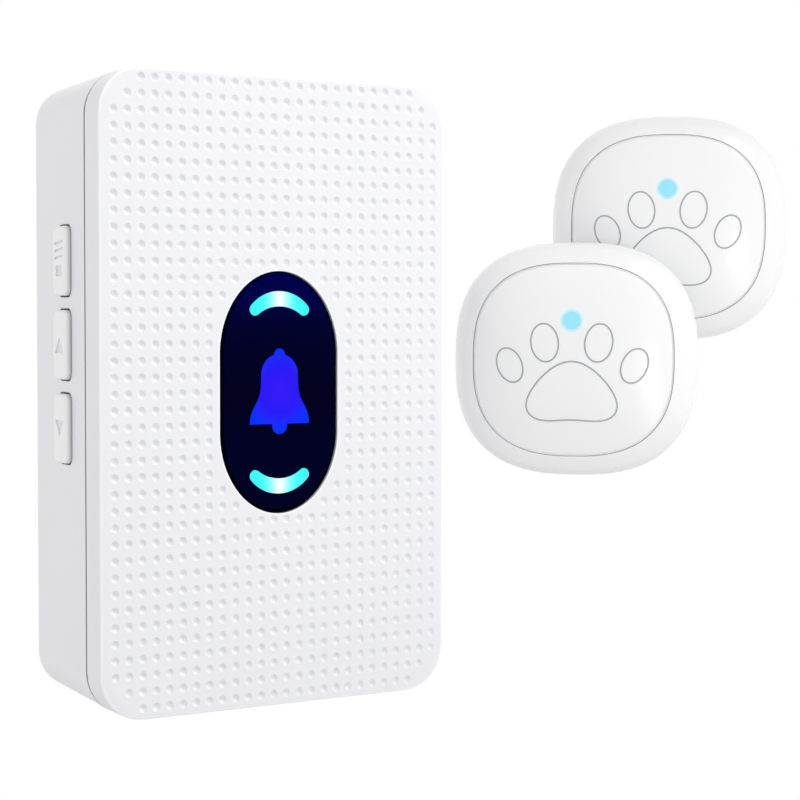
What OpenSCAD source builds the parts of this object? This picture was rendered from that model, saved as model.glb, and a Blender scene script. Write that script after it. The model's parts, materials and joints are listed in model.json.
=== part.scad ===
// Dog doorbell: a plug-in receiver with three side keys and a lit window,
// and two domed wireless press buttons. Millimetres, +Z up, -Y to the front,
// origin on the wall plane in the middle of the receiver's plug.

/* [Receiver case] */
// Width of the receiver
case_w = 60; // [57:1:72]
// Height of the receiver
case_h = 98; // [94:1:116]
// Depth of the receiver, wall to front face
case_d = 29; // [27:0.5:34]
// Corner radius of the receiver, seen from the front
case_r = 7; // [5:0.5:9]
// Thickness of the case walls
case_wall = 1.8; // [1.4:0.1:2.2]
// Depth of the front cover, from its face to the seam
cover_d = 5.3; // [4.6:0.1:6.5]
// Rounding of the front edge
cover_edge_r = 0.9; // [0.4:0.1:1.4]
// Rounding of the back edge
back_edge_r = 1.5; // [0.5:0.1:2.5]
// Lean of each side wall towards the back
case_taper = 0.7; // [0:0.1:1.2]
// Width and depth of the shadow groove at the seam
seam_groove = 0.5; // [0.3:0.1:0.8]
// Height of the tongue that centres the front cover
tongue_h = 1.5; // [0.8:0.1:2]
// Thickness of that tongue
tongue_t = 0.8; // [0.6:0.1:1.2]

/* [Window] */
// Width of the window
window_w = 20.4; // [16:0.2:24]
// Height of the window
window_h = 37.6; // [36:0.2:46]
// Length of the straight part of each window side
window_straight = 12; // [4:0.5:20]
// Width of the hidden flange round the window
window_flange = 1.4; // [0.8:0.1:2]
// Thickness of that flange
window_flange_t = 1; // [0.6:0.1:1.4]
// Depth of the light guides
guide_d = 5; // [3.5:0.5:6]
// Radius of the bell's dome
bell_r = 3.2; // [2.6:0.1:3.6]
// Height of the bell's dome centre above the window's centre
bell_y = 2.8; // [2:0.1:3.5]
// Length of the bell's skirt
bell_skirt = 7.66; // [6:0.1:8.5]
// Half width of the bell at its hem
bell_hem = 5.2; // [4.5:0.1:6]
// Radius of the bell's nub
bell_nub_r = 0.95; // [0.7:0.05:1.2]
// Radius of the bell's clapper
bell_clapper_r = 1.3; // [1:0.1:1.6]
// Radius of each light arc, at its middle line
arc_r = 6.2; // [5.5:0.1:7]
// Thickness of each light arc
arc_t = 2.3; // [1.8:0.1:2.6]
// Half angle of each light arc
arc_half = 43.4; // [30:0.2:50]
// Height of each arc's crest line above the window's centre
arc_y = 14.6; // [13.5:0.1:15.5]

/* [Side keys] */
// Length of a key
key_l = 10.7; // [9:0.1:12]
// Width of a key
key_w = 5.6; // [4.5:0.1:6.5]
// Corner radius of a key
key_r = 1.3; // [0.8:0.1:2]
// Rounding of a key's outer edge
key_edge_r = 0.45; // [0.2:0.05:0.7]
// How far a key stands out of the side
key_proud = 1; // [0.7:0.1:1.5]
// Distance from one key to the next
key_pitch = 12.9; // [12.6:0.1:15]
// Height of the middle key above the plug
key_y = 7.4; // [4:0.1:12]
// Travel of a key
key_travel = 0.6; // [0.3:0.1:0.7]
// Depth of the symbols sunk in the keys
symbol_d = 0.3; // [0.2:0.05:0.4]
// Width of a key's symbol
symbol_w = 3.4; // [2:0.1:3.6]
// Height of a key's symbol
symbol_h = 2.5; // [2:0.1:3]

/* [Boards] */
// Thickness of a receiver board
board_t = 1.6; // [1.2:0.2:2]
// Height of the posts under the power board
power_post_h = 2.6; // [2.4:0.1:3.4]
// Clear room between the two boards
board_room = 11.1; // [9:0.1:11.6]
// Height of the side switches above the main board
switch_h = 5; // [4:0.2:6]
// Depth of a side switch
switch_d = 3.5; // [3:0.1:4.5]
// Width of a side switch
switch_w = 6; // [5:0.2:7]
// Diameter of a smoothing capacitor
capacitor_dia = 8; // [6:0.5:9]
// Width of the transformer
transformer_w = 17; // [14:0.5:18]
// Length of the transformer
transformer_l = 15; // [12:0.5:16]
// Diameter of the fuse
fuse_dia = 8.2; // [6:0.2:9]
// Turns of the aerial coil
aerial_turns = 8; // [5:1:10]
// Wire diameter of the aerial coil
aerial_wire = 0.8; // [0.6:0.1:1]
// Radius of the aerial coil, at its middle line
aerial_r = 2; // [1.6:0.1:2.6]

/* [Speaker] */
// Diameter of the speaker
speaker_dia = 28; // [25:0.5:30]
// Diameter of the speaker's magnet
magnet_dia = 14; // [10:0.5:16]
// Thickness of the magnet
magnet_t = 4.4; // [3:0.2:5]
// Width of a sound slot
slot_w = 1.5; // [1:0.1:2]

/* [Plug] */
// Length of a blade outside the receiver
blade_l = 17; // [15.9:0.1:18.3]
// Width of a blade
blade_w = 6.35; // [6:0.05:6.7]
// Thickness of a blade
blade_t = 1.5; // [1.4:0.05:1.65]
// Distance between the blades' middles
blade_pitch = 12.7; // [12.4:0.1:13]
// Diameter of the hole in a blade
blade_hole_dia = 3.2; // [2.8:0.1:3.6]
// Distance of that hole from the wall plane
blade_hole_at = 11.7; // [11:0.1:12.5]
// Width of the plug block in the back wall
plug_w = 22; // [20:0.5:24]
// Height of the plug block
plug_h = 14; // [10:0.5:18]
// Thickness of the plug block's inner flange
plug_flange_t = 2; // [1.5:0.1:2.2]

/* [Screws] */
// Diameter of the small board screws
screw_dia = 2; // [1.6:0.1:2.2]
// Length of a small screw under its head
screw_l = 4.2; // [3.6:0.1:4.4]
// Diameter of a small screw's head
screw_head_dia = 3.8; // [3:0.1:4]
// Height of a small screw's head
screw_head_h = 1.3; // [1:0.1:1.6]
// Diameter of the case screws
case_screw_dia = 2.2; // [1.8:0.1:2.6]
// Diameter of a case screw's head
case_screw_head_dia = 5; // [4:0.1:5.4]
// Depth of a case screw's head below the back face
case_screw_sink = 1; // [0.5:0.1:1.5]
// Height of a case screw's head
case_screw_head_h = 2; // [1.4:0.1:2.4]

/* [Transmitter] */
// Width of a transmitter
tx_w = 41.4; // [38:0.2:48]
// Height of a transmitter
tx_h = 39.8; // [37:0.2:46]
// Thickness of a transmitter, without its sticky pad
tx_t = 15.5; // [14.5:0.1:18]
// Squareness of the outline: 2 is an ellipse
tx_square = 2.6; // [2.2:0.1:3.2]
// Squareness of the dome's section
dome_square = 2.5; // [2:0.1:3]
// Height of the widest line above the back
rim_z = 5; // [4.5:0.1:6]
// Thickness of the transmitter's walls
tx_wall = 1.5; // [1.1:0.1:1.8]
// Thickness of the back wall
back_t = 1.6; // [1.2:0.1:2]
// Width of the press pad as a share of the outline
pad_share = 0.8; // [0.78:0.005:0.85]
// Gap round the press pad
pad_gap = 0.3; // [0.25:0.05:0.5]
// Thickness of the press pad
pad_t = 1.8; // [1.4:0.1:2.2]
// Travel of the press pad
pad_travel = 0.8; // [0.4:0.1:0.9]
// Depth of the lip that keeps the press pad in
lip_t = 1.9; // [1.5:0.1:2.2]
// Thickness of the press pad's own flange
pad_flange_t = 0.9; // [0.7:0.1:1.1]
// Diameter of the indicator in the pad
led_dia = 3.7; // [2.5:0.1:4]
// Height of the indicator above the pad's middle
led_y = 6.6; // [6:0.1:8]
// Thickness of the seal between base and bezel
seal_t = 0.5; // [0.3:0.1:0.8]
// Thickness of the transmitter's board
tx_board_t = 1.2; // [0.8:0.1:1.6]
// Diameter of the coin cell
cell_dia = 20; // [16:1:20]
// Thickness of the coin cell
cell_t = 3.2; // [2:0.1:3.2]
// Diameter of the battery door
door_dia = 22.8; // [22.6:0.1:24]
// Reach of a door lug past the door
lug_reach = 1.4; // [1:0.1:1.8]
// Width of a door lug
lug_w = 4; // [3:0.2:5]
// Turn that opens the door, in degrees
door_turn = 40; // [30:1:60]
// Thickness of the sticky pad
sticky_t = 0.8; // [0.5:0.1:1.2]
// Turn of both transmitters towards the viewer, in degrees
tx_turn = -40; // [-50:1:-30]
// Place of the first transmitter's back, to the right of the plug
tx_1_x = 61.3; // [55:0.1:90]
// The same, off the wall plane
tx_1_y = -23.2; // [-60:0.1:0]
// The same, above the plug
tx_1_z = 4.6; // [-40:0.1:40]
// Place of the second transmitter's back, to the right of the plug
tx_2_x = 84.9; // [75:0.1:140]
// The same, off the wall plane
tx_2_y = -18.6; // [-60:0.1:0]
// The same, above the plug
tx_2_z = 27.5; // [-40:0.1:60]

/* [Fits] */
// Gap between parts that only lie together
fit_gap = 0.1; // [0.05:0.05:0.2]
// Gap round a key in its opening
key_gap = 0.25; // [0.2:0.05:0.4]
// Gap between moving parts and their stops
run_gap = 0.3; // [0.2:0.05:0.4]
// Gap round a plunger in its switch
plunger_gap = 0.1; // [0.05:0.05:0.2]

/* [Hidden] */
$fn = 64;
RECEIVER_PARTS = [
    "front_cover", "rear_case", "window_lens", "bell_light_guide", "arc_light_guides", "light_box",
    "main_board", "indicator_leds", "control_chip", "radio_aerial", "board_screws", "case_screws",
    "volume_button", "tune_up_button", "tune_down_button", "side_switches",
    "volume_plunger", "tune_up_plunger", "tune_down_plunger",
    "speaker_basket", "speaker_cone", "speaker_magnet", "speaker_clamp", "speaker_leads",
    "power_board", "transformer", "smoothing_capacitors", "fuse", "board_header",
    "plug_blades", "plug_block"
];
TRANSMITTER_PARTS = [
    "base", "bezel", "press_pad", "led_lens", "board", "board_led", "switch", "switch_plunger",
    "coin_cell", "cell_clip", "seal_ring", "battery_door", "door_seal", "sticky_pad"
];
TRANSMITTERS = [1, 2];

// Colours as the photograph shows them, and plain ones for what is hidden
white = [0.93, 0.93, 0.94];
lens_navy = [0.02, 0.01, 0.11];
bell_blue = [0.2, 0.1, 0.96];
arc_cyan = [0.35, 0.95, 1];
led_blue = [0.6, 0.9, 0.98];
board_green = [0.1, 0.35, 0.2];
dark = [0.12, 0.12, 0.13];
steel = [0.72, 0.73, 0.75];
brass = [0.8, 0.66, 0.35];
rubber = [0.2, 0.2, 0.21];
foam = [0.75, 0.77, 0.8];

// Receiver heights, measured out from the wall
seam_z = case_d - cover_d;
shell_z = seam_z - seam_groove;
cover_in_z = case_d - case_wall;
lens_back_z = cover_in_z - window_flange_t;
power_z = case_wall + power_post_h;
power_top = power_z + board_t;
main_z = power_top + board_room;
main_top = main_z + board_t;
key_z = main_z - switch_h / 2;
box_top = lens_back_z - fit_gap;
guide_back = case_d - guide_d;

// Receiver half sizes inside the case
in_x = case_w / 2 - case_taper - case_wall;
in_y = case_h / 2 - case_taper - case_wall;
cover_in_w = case_w - 2 * case_wall;
cover_in_h = case_h - 2 * case_wall;
tongue_w = cover_in_w - 2 * fit_gap;
tongue_l = cover_in_h - 2 * fit_gap;
tongue_r = max(case_r - case_wall - fit_gap, 1);
inner_r = max(case_r - case_wall, 1);

// Screw posts: their walls, the room round them and how far they sink into the back wall
screw_r = screw_dia / 2;
screw_hole_r = screw_r + fit_gap;
screw_room = 0.2;
post_wall = 1.3;
post_sink = 0.2;
post_room = 0.4;
post_r = screw_r + post_wall;
case_post_r = case_screw_head_dia / 2 + post_wall;
case_post_top = main_z + post_room;
case_boss_r = case_screw_dia / 2 + 1.5 * post_wall;
case_screw_x = in_x - case_post_r - post_room;
case_screw_y = in_y - case_post_r - post_room;
case_screw_cover = 6;
case_screw_tip = case_d - case_screw_cover;
key_room = 2.8;
main_post_x = in_x - post_r - key_room;
power_w = 2 * (main_post_x - post_r - post_room);
power_post_x = power_w / 2 - post_r - fit_gap;

// Side keys and their switches, measured out from the middle
side_x = case_w / 2 - case_taper * (shell_z - key_z) / (shell_z - back_edge_r);
key_face_x = side_x + key_proud;
key_cap_l = key_face_x - in_x + run_gap;
key_flange_t = 0.8;
key_flange_y = min(0.5, (key_pitch - key_l) / 2 - run_gap / 2);
key_flange_z = 0.9;
key_stem_l = 0.6;
plunger_r = 1.5;
plunger_show = 0.7;
plunger_out = key_travel + plunger_show;
plunger_in = 1;
plunger_tip_x = key_face_x - key_cap_l - key_flange_t - key_stem_l;
switch_x = plunger_tip_x - plunger_out;
key_places = [key_y + key_pitch, key_y, key_y - key_pitch];

// Speaker
speaker_r = speaker_dia / 2;
clamp_lap = 1.5;
clamp_r = speaker_r + clamp_lap;
clamp_ear_x = clamp_r + post_r + 0.8;
clamp_t = 1.2;
speaker_room = 0.7;
speaker_y = -in_y + clamp_r + speaker_room;
bore_floor = 0.8;
ear_top = screw_l + screw_room + bore_floor;
flange_top = ear_top - clamp_t;
flange_t = 1;
cone_lip = 1;
basket_d = 4;
basket_top = flange_top + basket_d;
magnet_r = magnet_dia / 2;
lead_r = 0.6;
lead_x = 1.3;
tag_w = 5;
tag_t = 2;
tag_drop = 1;
tag_z = basket_top - tag_drop;
lead_y = speaker_y + speaker_r - 1.75 * tag_t;

// Board outlines
edge_room = 1.5;
main_w = 2 * (switch_x + run_gap);
main_bottom = lead_y - edge_room;
main_post_high = case_screw_y - case_post_r - post_r - 2 * edge_room;
main_post_low = main_bottom + post_r + edge_room;
main_head = main_post_high + post_r + edge_room;
power_bottom = speaker_y + clamp_r + edge_room;
power_head = main_head;
power_post_low = power_bottom + post_r + post_room;
power_post_high = power_head - post_r - post_room;
plug_flange = 2;
plug_r = 2;
blade_slot_gap = 0.05;

// Places of the parts on the power board
part_room = 0.6;
wide_room = 1.5;
header_w = 2.5;
header_l = 10.2;
head_line = power_post_high - screw_head_dia / 2 - part_room;
capacitor_x = power_w / 2 - capacitor_dia / 2 - edge_room - part_room;
capacitor_at = [
    [capacitor_x, head_line - capacitor_dia / 2],
    [capacitor_x, head_line - 1.5 * capacitor_dia - part_room]
];
transformer_at = [
    capacitor_x - capacitor_dia / 2 - wide_room - transformer_w / 2,
    head_line - transformer_l / 2
];
fuse_at = [-power_post_x + fuse_dia / 2 + post_r, plug_flange];
header_at = [power_w / 2 - header_w - edge_room, 0];

// Places of the transmitters' backs, and heights measured out from a back
tx_places = [[tx_1_x, tx_1_y, tx_1_z], [tx_2_x, tx_2_y, tx_2_z]];
half_w = tx_w / 2;
half_h = tx_h / 2;
wall_share = 1 - tx_wall / half_w;
bezel_share = pad_share + pad_gap / half_w;
function dome(s) = rim_z + (tx_t - rim_z) * pow(max(1 - pow(s, dome_square), 0), 1 / dome_square);
lip_z = dome(bezel_share) - lip_t;
lip_share = wall_share - 0.032;
flange_share = lip_share - 1.8 * run_gap / half_w;
flange_z = lip_z - run_gap;
cell_z = back_t + run_gap;
clip_t = 0.3;
clip_z = cell_z + cell_t;
clip_gap = 1.1;
tx_board_z = clip_z + clip_t + clip_gap;
tx_board_top = tx_board_z + tx_board_t;
tx_board_share = lip_share - 0.025;
tx_switch_w = 6;
tx_switch_h = 3.1;
tx_switch_top = tx_board_top + tx_switch_h;
tx_plunger_r = 1.7;
tx_plunger_in = 1;
tx_plunger_top = tx_switch_top + pad_travel + run_gap;
board_led_h = 0.9;
led_bottom = tx_board_top + board_led_h + pad_travel + run_gap;
led_r = led_dia / 2;
led_top = dome(led_y / half_h);
door_r = door_dia / 2;
door_gap = 0.2;
door_rim_t = 0.9;
lug_r = door_r + lug_reach;
lug_t = 1;
seal_bead_r = 0.4;
seal_groove_d = 0.7;
tx_post_r = 1.6;
tx_post_at = (lug_r + tx_post_r + 1) / sqrt(2);
sticky_share = 0.84;
outline_steps = 64;

// Rounded rectangle about the origin
module rounded_rect(w, h, r) {
    square([w - 2 * r, h], center = true);
    square([w, h - 2 * r], center = true);
    for (x = [-1, 1], y = [-1, 1])
        translate([x * (w / 2 - r), y * (h / 2 - r)]) circle(r);
}

// Upright prism of a flat shape between two heights
module slab(z0, z1) {
    translate([0, 0, z0]) linear_extrude(z1 - z0) children();
}

// Upright round post
module post(x, y, r, z0, z1) {
    translate([x, y, z0]) cylinder(r = r, h = z1 - z0);
}

// Rounded block: its sides follow a half section, drawn from the corner's axis outwards
module swept_block(w, h, r, z0, z1) {
    for (mx = [0, 1], my = [0, 1])
        mirror([mx, 0, 0]) mirror([0, my, 0])
            translate([w / 2 - r, h / 2 - r, 0]) rotate_extrude(angle = 90) children();
    for (m = [0, 1]) {
        mirror([m, 0, 0])
            translate([w / 2 - r, h / 2 - r, 0]) rotate([90, 0, 0]) linear_extrude(h - 2 * r) children();
        mirror([0, m, 0])
            translate([r - w / 2, h / 2 - r, 0]) rotate([90, 0, 90]) linear_extrude(w - 2 * r) children();
    }
    translate([r - w / 2, r - h / 2, z0]) cube([w - 2 * r, h - 2 * r, z1 - z0]);
}

// Half section with a rounded outer edge at its top
module top_edge_section(r, edge, z0, z1) {
    translate([0, z0]) square([r, z1 - z0 - edge]);
    translate([0, z1 - edge]) square([r - edge, edge]);
    translate([r - edge, z1 - edge]) circle(edge);
}

// Half section of the rear case: leaning side, rounded back edge
module case_section() {
    foot = case_r - case_taper;
    polygon([[0, back_edge_r], [foot, back_edge_r], [case_r, shell_z], [0, shell_z]]);
    square([foot - back_edge_r, back_edge_r]);
    translate([foot - back_edge_r, back_edge_r]) circle(back_edge_r);
}

// Window outline: straight sides with elliptical ends, grown by a margin
module window_outline(grow) {
    straight = window_straight / 2;
    a = window_w / 2 + grow;
    b = window_h / 2 - straight + grow;
    polygon(concat(
        [for (t = [0:7.5:180]) [a * cos(t), straight + b * sin(t)]],
        [for (t = [180:7.5:360]) [a * cos(t), b * sin(t) - straight]]
    ));
}

// Share of the bell's flare at a share of its skirt: nearly straight sides first, then a sweep to the hem
flare_at = 0.61;
flare_pace = 9;
function flare(t) = 1 / (1 + exp(flare_pace * (flare_at - t)));

// Bell pictogram as a prism: dome, flared skirt, nub and clapper, grown by a margin
module bell_prism(grow, z0, z1) {
    steps = 16;
    side = [for (i = [0:steps]) [
        bell_r + (bell_hem - bell_r) * flare(i / steps) / flare(1) + grow,
        bell_y - (bell_skirt + grow) * i / steps
    ]];
    slab(z0, z1) polygon(concat(side, [for (i = [steps:-1:0]) [-side[i][0], side[i][1]]]));
    post(0, bell_y, bell_r + grow, z0, z1);
    post(0, bell_y + bell_r - 0.1, bell_nub_r + grow, z0, z1);
    post(0, bell_y - bell_skirt - 0.3, bell_clapper_r + grow, z0, z1);
}

// Light arc with round ends, grown by a margin
module arc_outline(grow) {
    reach = 2 * arc_r;
    translate([0, arc_y - arc_r]) {
        intersection() {
            difference() {
                circle(arc_r + arc_t / 2 + grow);
                circle(arc_r - arc_t / 2 - grow);
            }
            polygon([
                [0, 0],
                [reach * sin(arc_half), reach * cos(arc_half)],
                [-reach * sin(arc_half), reach * cos(arc_half)]
            ]);
        }
        for (a = [-arc_half, arc_half])
            translate([arc_r * sin(a), arc_r * cos(a)]) circle(arc_t / 2 + grow);
    }
}

module both_arcs(grow) {
    arc_outline(grow);
    mirror([0, 1]) arc_outline(grow);
}

// Spots of the indicator lights: one behind the bell, two behind each arc
arc_led_angle = arc_half / 2;
arc_led_spots = [for (m = [-1, 1], a = [-arc_led_angle, arc_led_angle])
    [arc_r * sin(a), m * (arc_y - arc_r + arc_r * cos(a))]];
bell_chamber_r = bell_r - 0.8;
arc_chamber_r = arc_t / 2 - 0.2;
indicator_w = 1.6;
indicator_l = 0.8;
indicator_h = 0.7;

// Everything on the receiver is drawn lying on its back, then stood up against the wall
module on_wall() {
    rotate([90, 0, 0]) children();
}

module front_cover() {
    color(white) on_wall() {
        difference() {
            swept_block(case_w, case_h, case_r, seam_z, case_d)
                top_edge_section(case_r, cover_edge_r, seam_z, case_d);
            slab(seam_z - 1, cover_in_z) rounded_rect(cover_in_w, cover_in_h, inner_r);
            slab(cover_in_z - 1, case_d + 1) window_outline(fit_gap);
        }
        for (x = [-1, 1], y = [-1, 1])
            difference() {
                post(x * case_screw_x, y * case_screw_y, case_boss_r, case_post_top, cover_in_z);
                post(x * case_screw_x, y * case_screw_y, case_screw_dia / 2 + fit_gap / 2,
                    case_post_top - 1, case_screw_tip + screw_room);
            }
    }
}

// Places of the posts under each board
main_posts = [for (x = [-1, 1], y = [main_post_low, main_post_high]) [x * main_post_x, y]];
power_posts = [for (x = [-1, 1], y = [power_post_low, power_post_high]) [x * power_post_x, y]];
clamp_posts = [for (x = [-1, 1]) [x * clamp_ear_x, speaker_y]];

module screw_post(at, top) {
    post(at[0], at[1], post_r, case_wall - post_sink, top);
}

// Blind bore under a small screw whose head sits at the given height
module screw_bore(at, head_z) {
    post(at[0], at[1], screw_hole_r, head_z - screw_l - screw_room, head_z);
}

module rear_case() {
    ring_r = speaker_r + screw_room;
    color(white) on_wall() {
        difference() {
            union() {
                difference() {
                    union() {
                        swept_block(case_w, case_h, case_r, 0, shell_z) case_section();
                        slab(shell_z - 1, seam_z)
                            rounded_rect(case_w - 2 * seam_groove, case_h - 2 * seam_groove,
                                case_r - seam_groove);
                        slab(seam_z - 1, seam_z + tongue_h) rounded_rect(tongue_w, tongue_l, tongue_r);
                    }
                    slab(case_wall, seam_z - 2) rounded_rect(2 * in_x, 2 * in_y, inner_r);
                    slab(seam_z - 3, seam_z + tongue_h + 1)
                        rounded_rect(tongue_w - 2 * tongue_t, tongue_l - 2 * tongue_t,
                            max(tongue_r - tongue_t, 0.5));
                }
                for (x = [-1, 1], y = [-1, 1])
                    post(x * case_screw_x, y * case_screw_y, case_post_r,
                        case_wall - post_sink, case_post_top);
                difference() {
                    post(0, speaker_y, ring_r, case_wall - post_sink, flange_top - flange_t);
                    post(0, speaker_y, speaker_r - 2 * cone_lip, case_wall - 1, flange_top);
                }
                for (at = main_posts) screw_post(at, main_z);
                for (at = power_posts) screw_post(at, power_z);
                for (at = clamp_posts) screw_post(at, flange_top);
            }
            for (x = [-1, 1], y = [-1, 1]) {
                post(x * case_screw_x, y * case_screw_y, case_screw_dia / 2 + run_gap, -1, case_post_top + 1);
                post(x * case_screw_x, y * case_screw_y, case_screw_head_dia / 2 + fit_gap,
                    -1, case_screw_sink + case_screw_head_h);
            }
            for (at = main_posts) screw_bore(at, main_top);
            for (at = power_posts) screw_bore(at, power_top);
            for (at = clamp_posts) screw_bore(at, ear_top);
            for (y = key_places) key_opening(y);
            slab(-1, case_wall + 1) rounded_rect(plug_w, plug_h, plug_r);
            for (i = [-3:3]) sound_slot(i);
        }
    }
}

// One upright slot in front of the speaker
module sound_slot(i) {
    pitch = 2 * slot_w;
    half = sqrt(pow(speaker_r - 4, 2) - pow(i * pitch, 2)) - slot_w;
    slab(-1, case_wall + 1) {
        translate([i * pitch - slot_w / 2, speaker_y - half]) square([slot_w, 2 * half]);
        for (y = [-half, half]) translate([i * pitch, speaker_y + y]) circle(slot_w / 2);
    }
}

// Frame of a side key: its own x to the front, y up, z out of the side, zero on its face
module at_key(y) {
    translate([-key_face_x, y, key_z]) rotate([0, -90, 0]) children();
}

module key_opening(y) {
    at_key(y) slab(-key_cap_l - 1, 1)
        rounded_rect(key_w + 2 * key_gap, key_l + 2 * key_gap, key_r + key_gap);
}

module key_body(y) {
    flange_bottom = -key_cap_l - key_flange_t;
    at_key(y) {
        difference() {
            swept_block(key_w, key_l, key_r, -key_cap_l, 0)
                top_edge_section(key_r, key_edge_r, -key_cap_l, 0);
            slab(-symbol_d, 1) children();
        }
        slab(flange_bottom, -key_cap_l)
            rounded_rect(key_w + 2 * key_flange_z, key_l + 2 * key_flange_y, key_r);
        post(0, 0, plunger_r - 0.1, flange_bottom - key_stem_l, flange_bottom);
    }
}

// Three slanted bars stacked over a small square
module volume_symbol() {
    half = symbol_w / 2;
    bar_t = symbol_h / 6;
    rise = symbol_h / 7;
    step = symbol_h * 0.44;
    first = symbol_h * 0.08;
    box_w = symbol_w * 0.7;
    box_h = symbol_h * 0.64;
    box_drop = symbol_h * 0.3;
    for (i = [0:2])
        translate([0, first + i * step])
            polygon([[-half, 0], [half, rise], [half, rise + bar_t], [-half, bar_t]]);
    translate([-box_w / 2, -box_h - box_drop]) square([box_w, box_h]);
}

// Triangle with its point up, or down
module triangle_symbol(up) {
    half = symbol_w / 2;
    tip = up * symbol_h / 2;
    polygon([[-half, -tip], [half, -tip], [0, tip]]);
}

module volume_button() {
    color(white) on_wall() key_body(key_places[0]) volume_symbol();
}

module tune_up_button() {
    color(white) on_wall() key_body(key_places[1]) triangle_symbol(1);
}

module tune_down_button() {
    color(white) on_wall() key_body(key_places[2]) triangle_symbol(-1);
}

module side_plunger(y) {
    color(dark) on_wall()
        translate([-plunger_tip_x, y, key_z]) rotate([0, 90, 0])
            cylinder(r = plunger_r, h = plunger_out + plunger_in);
}

module side_switches() {
    bore_d = plunger_in + key_travel + run_gap;
    color(dark) on_wall()
        for (y = key_places)
            difference() {
                translate([-switch_x, y - switch_w / 2, main_z - switch_h])
                    cube([switch_d, switch_w, switch_h]);
                translate([-switch_x - 1, y, key_z]) rotate([0, 90, 0])
                    cylinder(r = plunger_r + plunger_gap, h = bore_d + 1);
            }
}

module window_lens() {
    color(lens_navy) on_wall()
        difference() {
            union() {
                slab(lens_back_z, cover_in_z) window_outline(window_flange);
                slab(lens_back_z, case_d) window_outline(0);
            }
            bell_prism(fit_gap, lens_back_z - 1, case_d + 1);
            slab(lens_back_z - 1, case_d + 1) both_arcs(fit_gap);
        }
}

module bell_light_guide() {
    color(bell_blue) on_wall() bell_prism(0, guide_back, case_d);
}

module arc_light_guides() {
    color(arc_cyan) on_wall() slab(guide_back, case_d) both_arcs(0);
}

module light_box() {
    color(white) on_wall()
        difference() {
            slab(main_top, box_top) window_outline(window_flange);
            bell_prism(fit_gap, guide_back, box_top + 1);
            slab(guide_back, box_top + 1) both_arcs(fit_gap);
            post(0, 0, bell_chamber_r, main_top - 1, guide_back + 1);
            for (at = arc_led_spots) post(at[0], at[1], arc_chamber_r, main_top - 1, guide_back + 1);
        }
}

module board_plate(w, bottom, head, z0, posts) {
    difference() {
        slab(z0, z0 + board_t)
            translate([0, (bottom + head) / 2]) rounded_rect(w, head - bottom, 1);
        for (at = posts) post(at[0], at[1], screw_hole_r, z0 - 1, z0 + board_t + 1);
    }
}

module main_board() {
    color(board_green) on_wall() board_plate(main_w, main_bottom, main_head, main_z, main_posts);
}

module power_board() {
    color(board_green) on_wall() board_plate(power_w, power_bottom, power_head, power_z, power_posts);
}

module indicator_leds() {
    color("white") on_wall()
        for (at = concat([[0, 0]], arc_led_spots))
            translate([at[0] - indicator_w / 2, at[1] - indicator_l / 2, main_top])
                cube([indicator_w, indicator_l, indicator_h]);
}

module control_chip() {
    chip = [6, 9, 1.6];
    color(dark) on_wall()
        translate([main_w / 2 - chip[0] - 3, -chip[1] / 2, main_top]) cube(chip);
}

// Sweep of a round wire along points, its rings turned about the x direction
function unit(v) = v / norm(v);
function along(path, i) = unit(path[min(i + 1, len(path) - 1)] - path[max(i - 1, 0)]);
module wire(path, r, sides) {
    rings = [for (i = [0:len(path) - 1])
        let (t = along(path, i), n = unit(cross(t, [1, 0, 0])), b = cross(t, n))
        [for (k = [0:sides - 1])
            path[i] + r * (cos(360 * k / sides) * n + sin(360 * k / sides) * b)]];
    last = (len(path) - 1) * sides;
    polyhedron(
        points = [for (ring = rings) each ring],
        faces = concat(
            [for (k = [1:sides - 2]) [0, k, k + 1]],
            [for (k = [1:sides - 2]) [last, last + k + 1, last + k]],
            [for (i = [0:len(path) - 2], k = [0:sides - 1])
                let (a = i * sides + k, b = i * sides + (k + 1) % sides)
                each [[a, a + sides, b], [b, a + sides, b + sides]]]
        )
    );
}

module radio_aerial() {
    pitch = 2.4 * aerial_wire;
    steps = 12;
    length = aerial_turns * pitch;
    axis_y = main_post_high;
    foot_z = main_top;
    axis_z = main_top + aerial_r + 1;
    coil = [for (i = [0:aerial_turns * steps])
        [length * (i / (aerial_turns * steps) - 0.5),
         axis_y + aerial_r * cos(360 * i / steps),
         axis_z + aerial_r * sin(360 * i / steps)]];
    feet = [for (z = [foot_z, (foot_z + axis_z) / 2]) [-length / 2, axis_y + aerial_r, z]];
    tail = [for (z = [(foot_z + axis_z) / 2, foot_z]) [length / 2 + pitch, axis_y + aerial_r, z]];
    turn_down = [[length / 2 + pitch * 0.9, axis_y + aerial_r, axis_z]];
    color(brass) on_wall() wire(concat(feet, coil, turn_down, tail), aerial_wire / 2, 6);
}

// One small screw, its head's underside at the given height
module small_screw(at, z) {
    post(at[0], at[1], screw_r, z - screw_l, z);
    post(at[0], at[1], screw_head_dia / 2, z, z + screw_head_h);
}

module board_screws() {
    color(steel) on_wall() {
        for (at = main_posts) small_screw(at, main_top);
        for (at = power_posts) small_screw(at, power_top);
        for (at = clamp_posts) small_screw(at, ear_top);
    }
}

module case_screws() {
    head_top = case_screw_sink + case_screw_head_h;
    color(steel) on_wall()
        for (x = [-1, 1], y = [-1, 1])
            difference() {
                union() {
                    post(x * case_screw_x, y * case_screw_y, case_screw_head_dia / 2,
                        case_screw_sink, head_top);
                    post(x * case_screw_x, y * case_screw_y, case_screw_dia / 2, head_top, case_screw_tip);
                }
                for (a = [0, 90])
                    translate([x * case_screw_x, y * case_screw_y, case_screw_sink]) rotate([0, 0, a])
                        cube([case_screw_head_dia * 0.6, 0.7, 2], center = true);
            }
}

// Section turned round the speaker's axis: radius, then height off the wall
module turned_on_speaker() {
    on_wall() translate([0, speaker_y, 0]) rotate_extrude() children();
}

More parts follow.
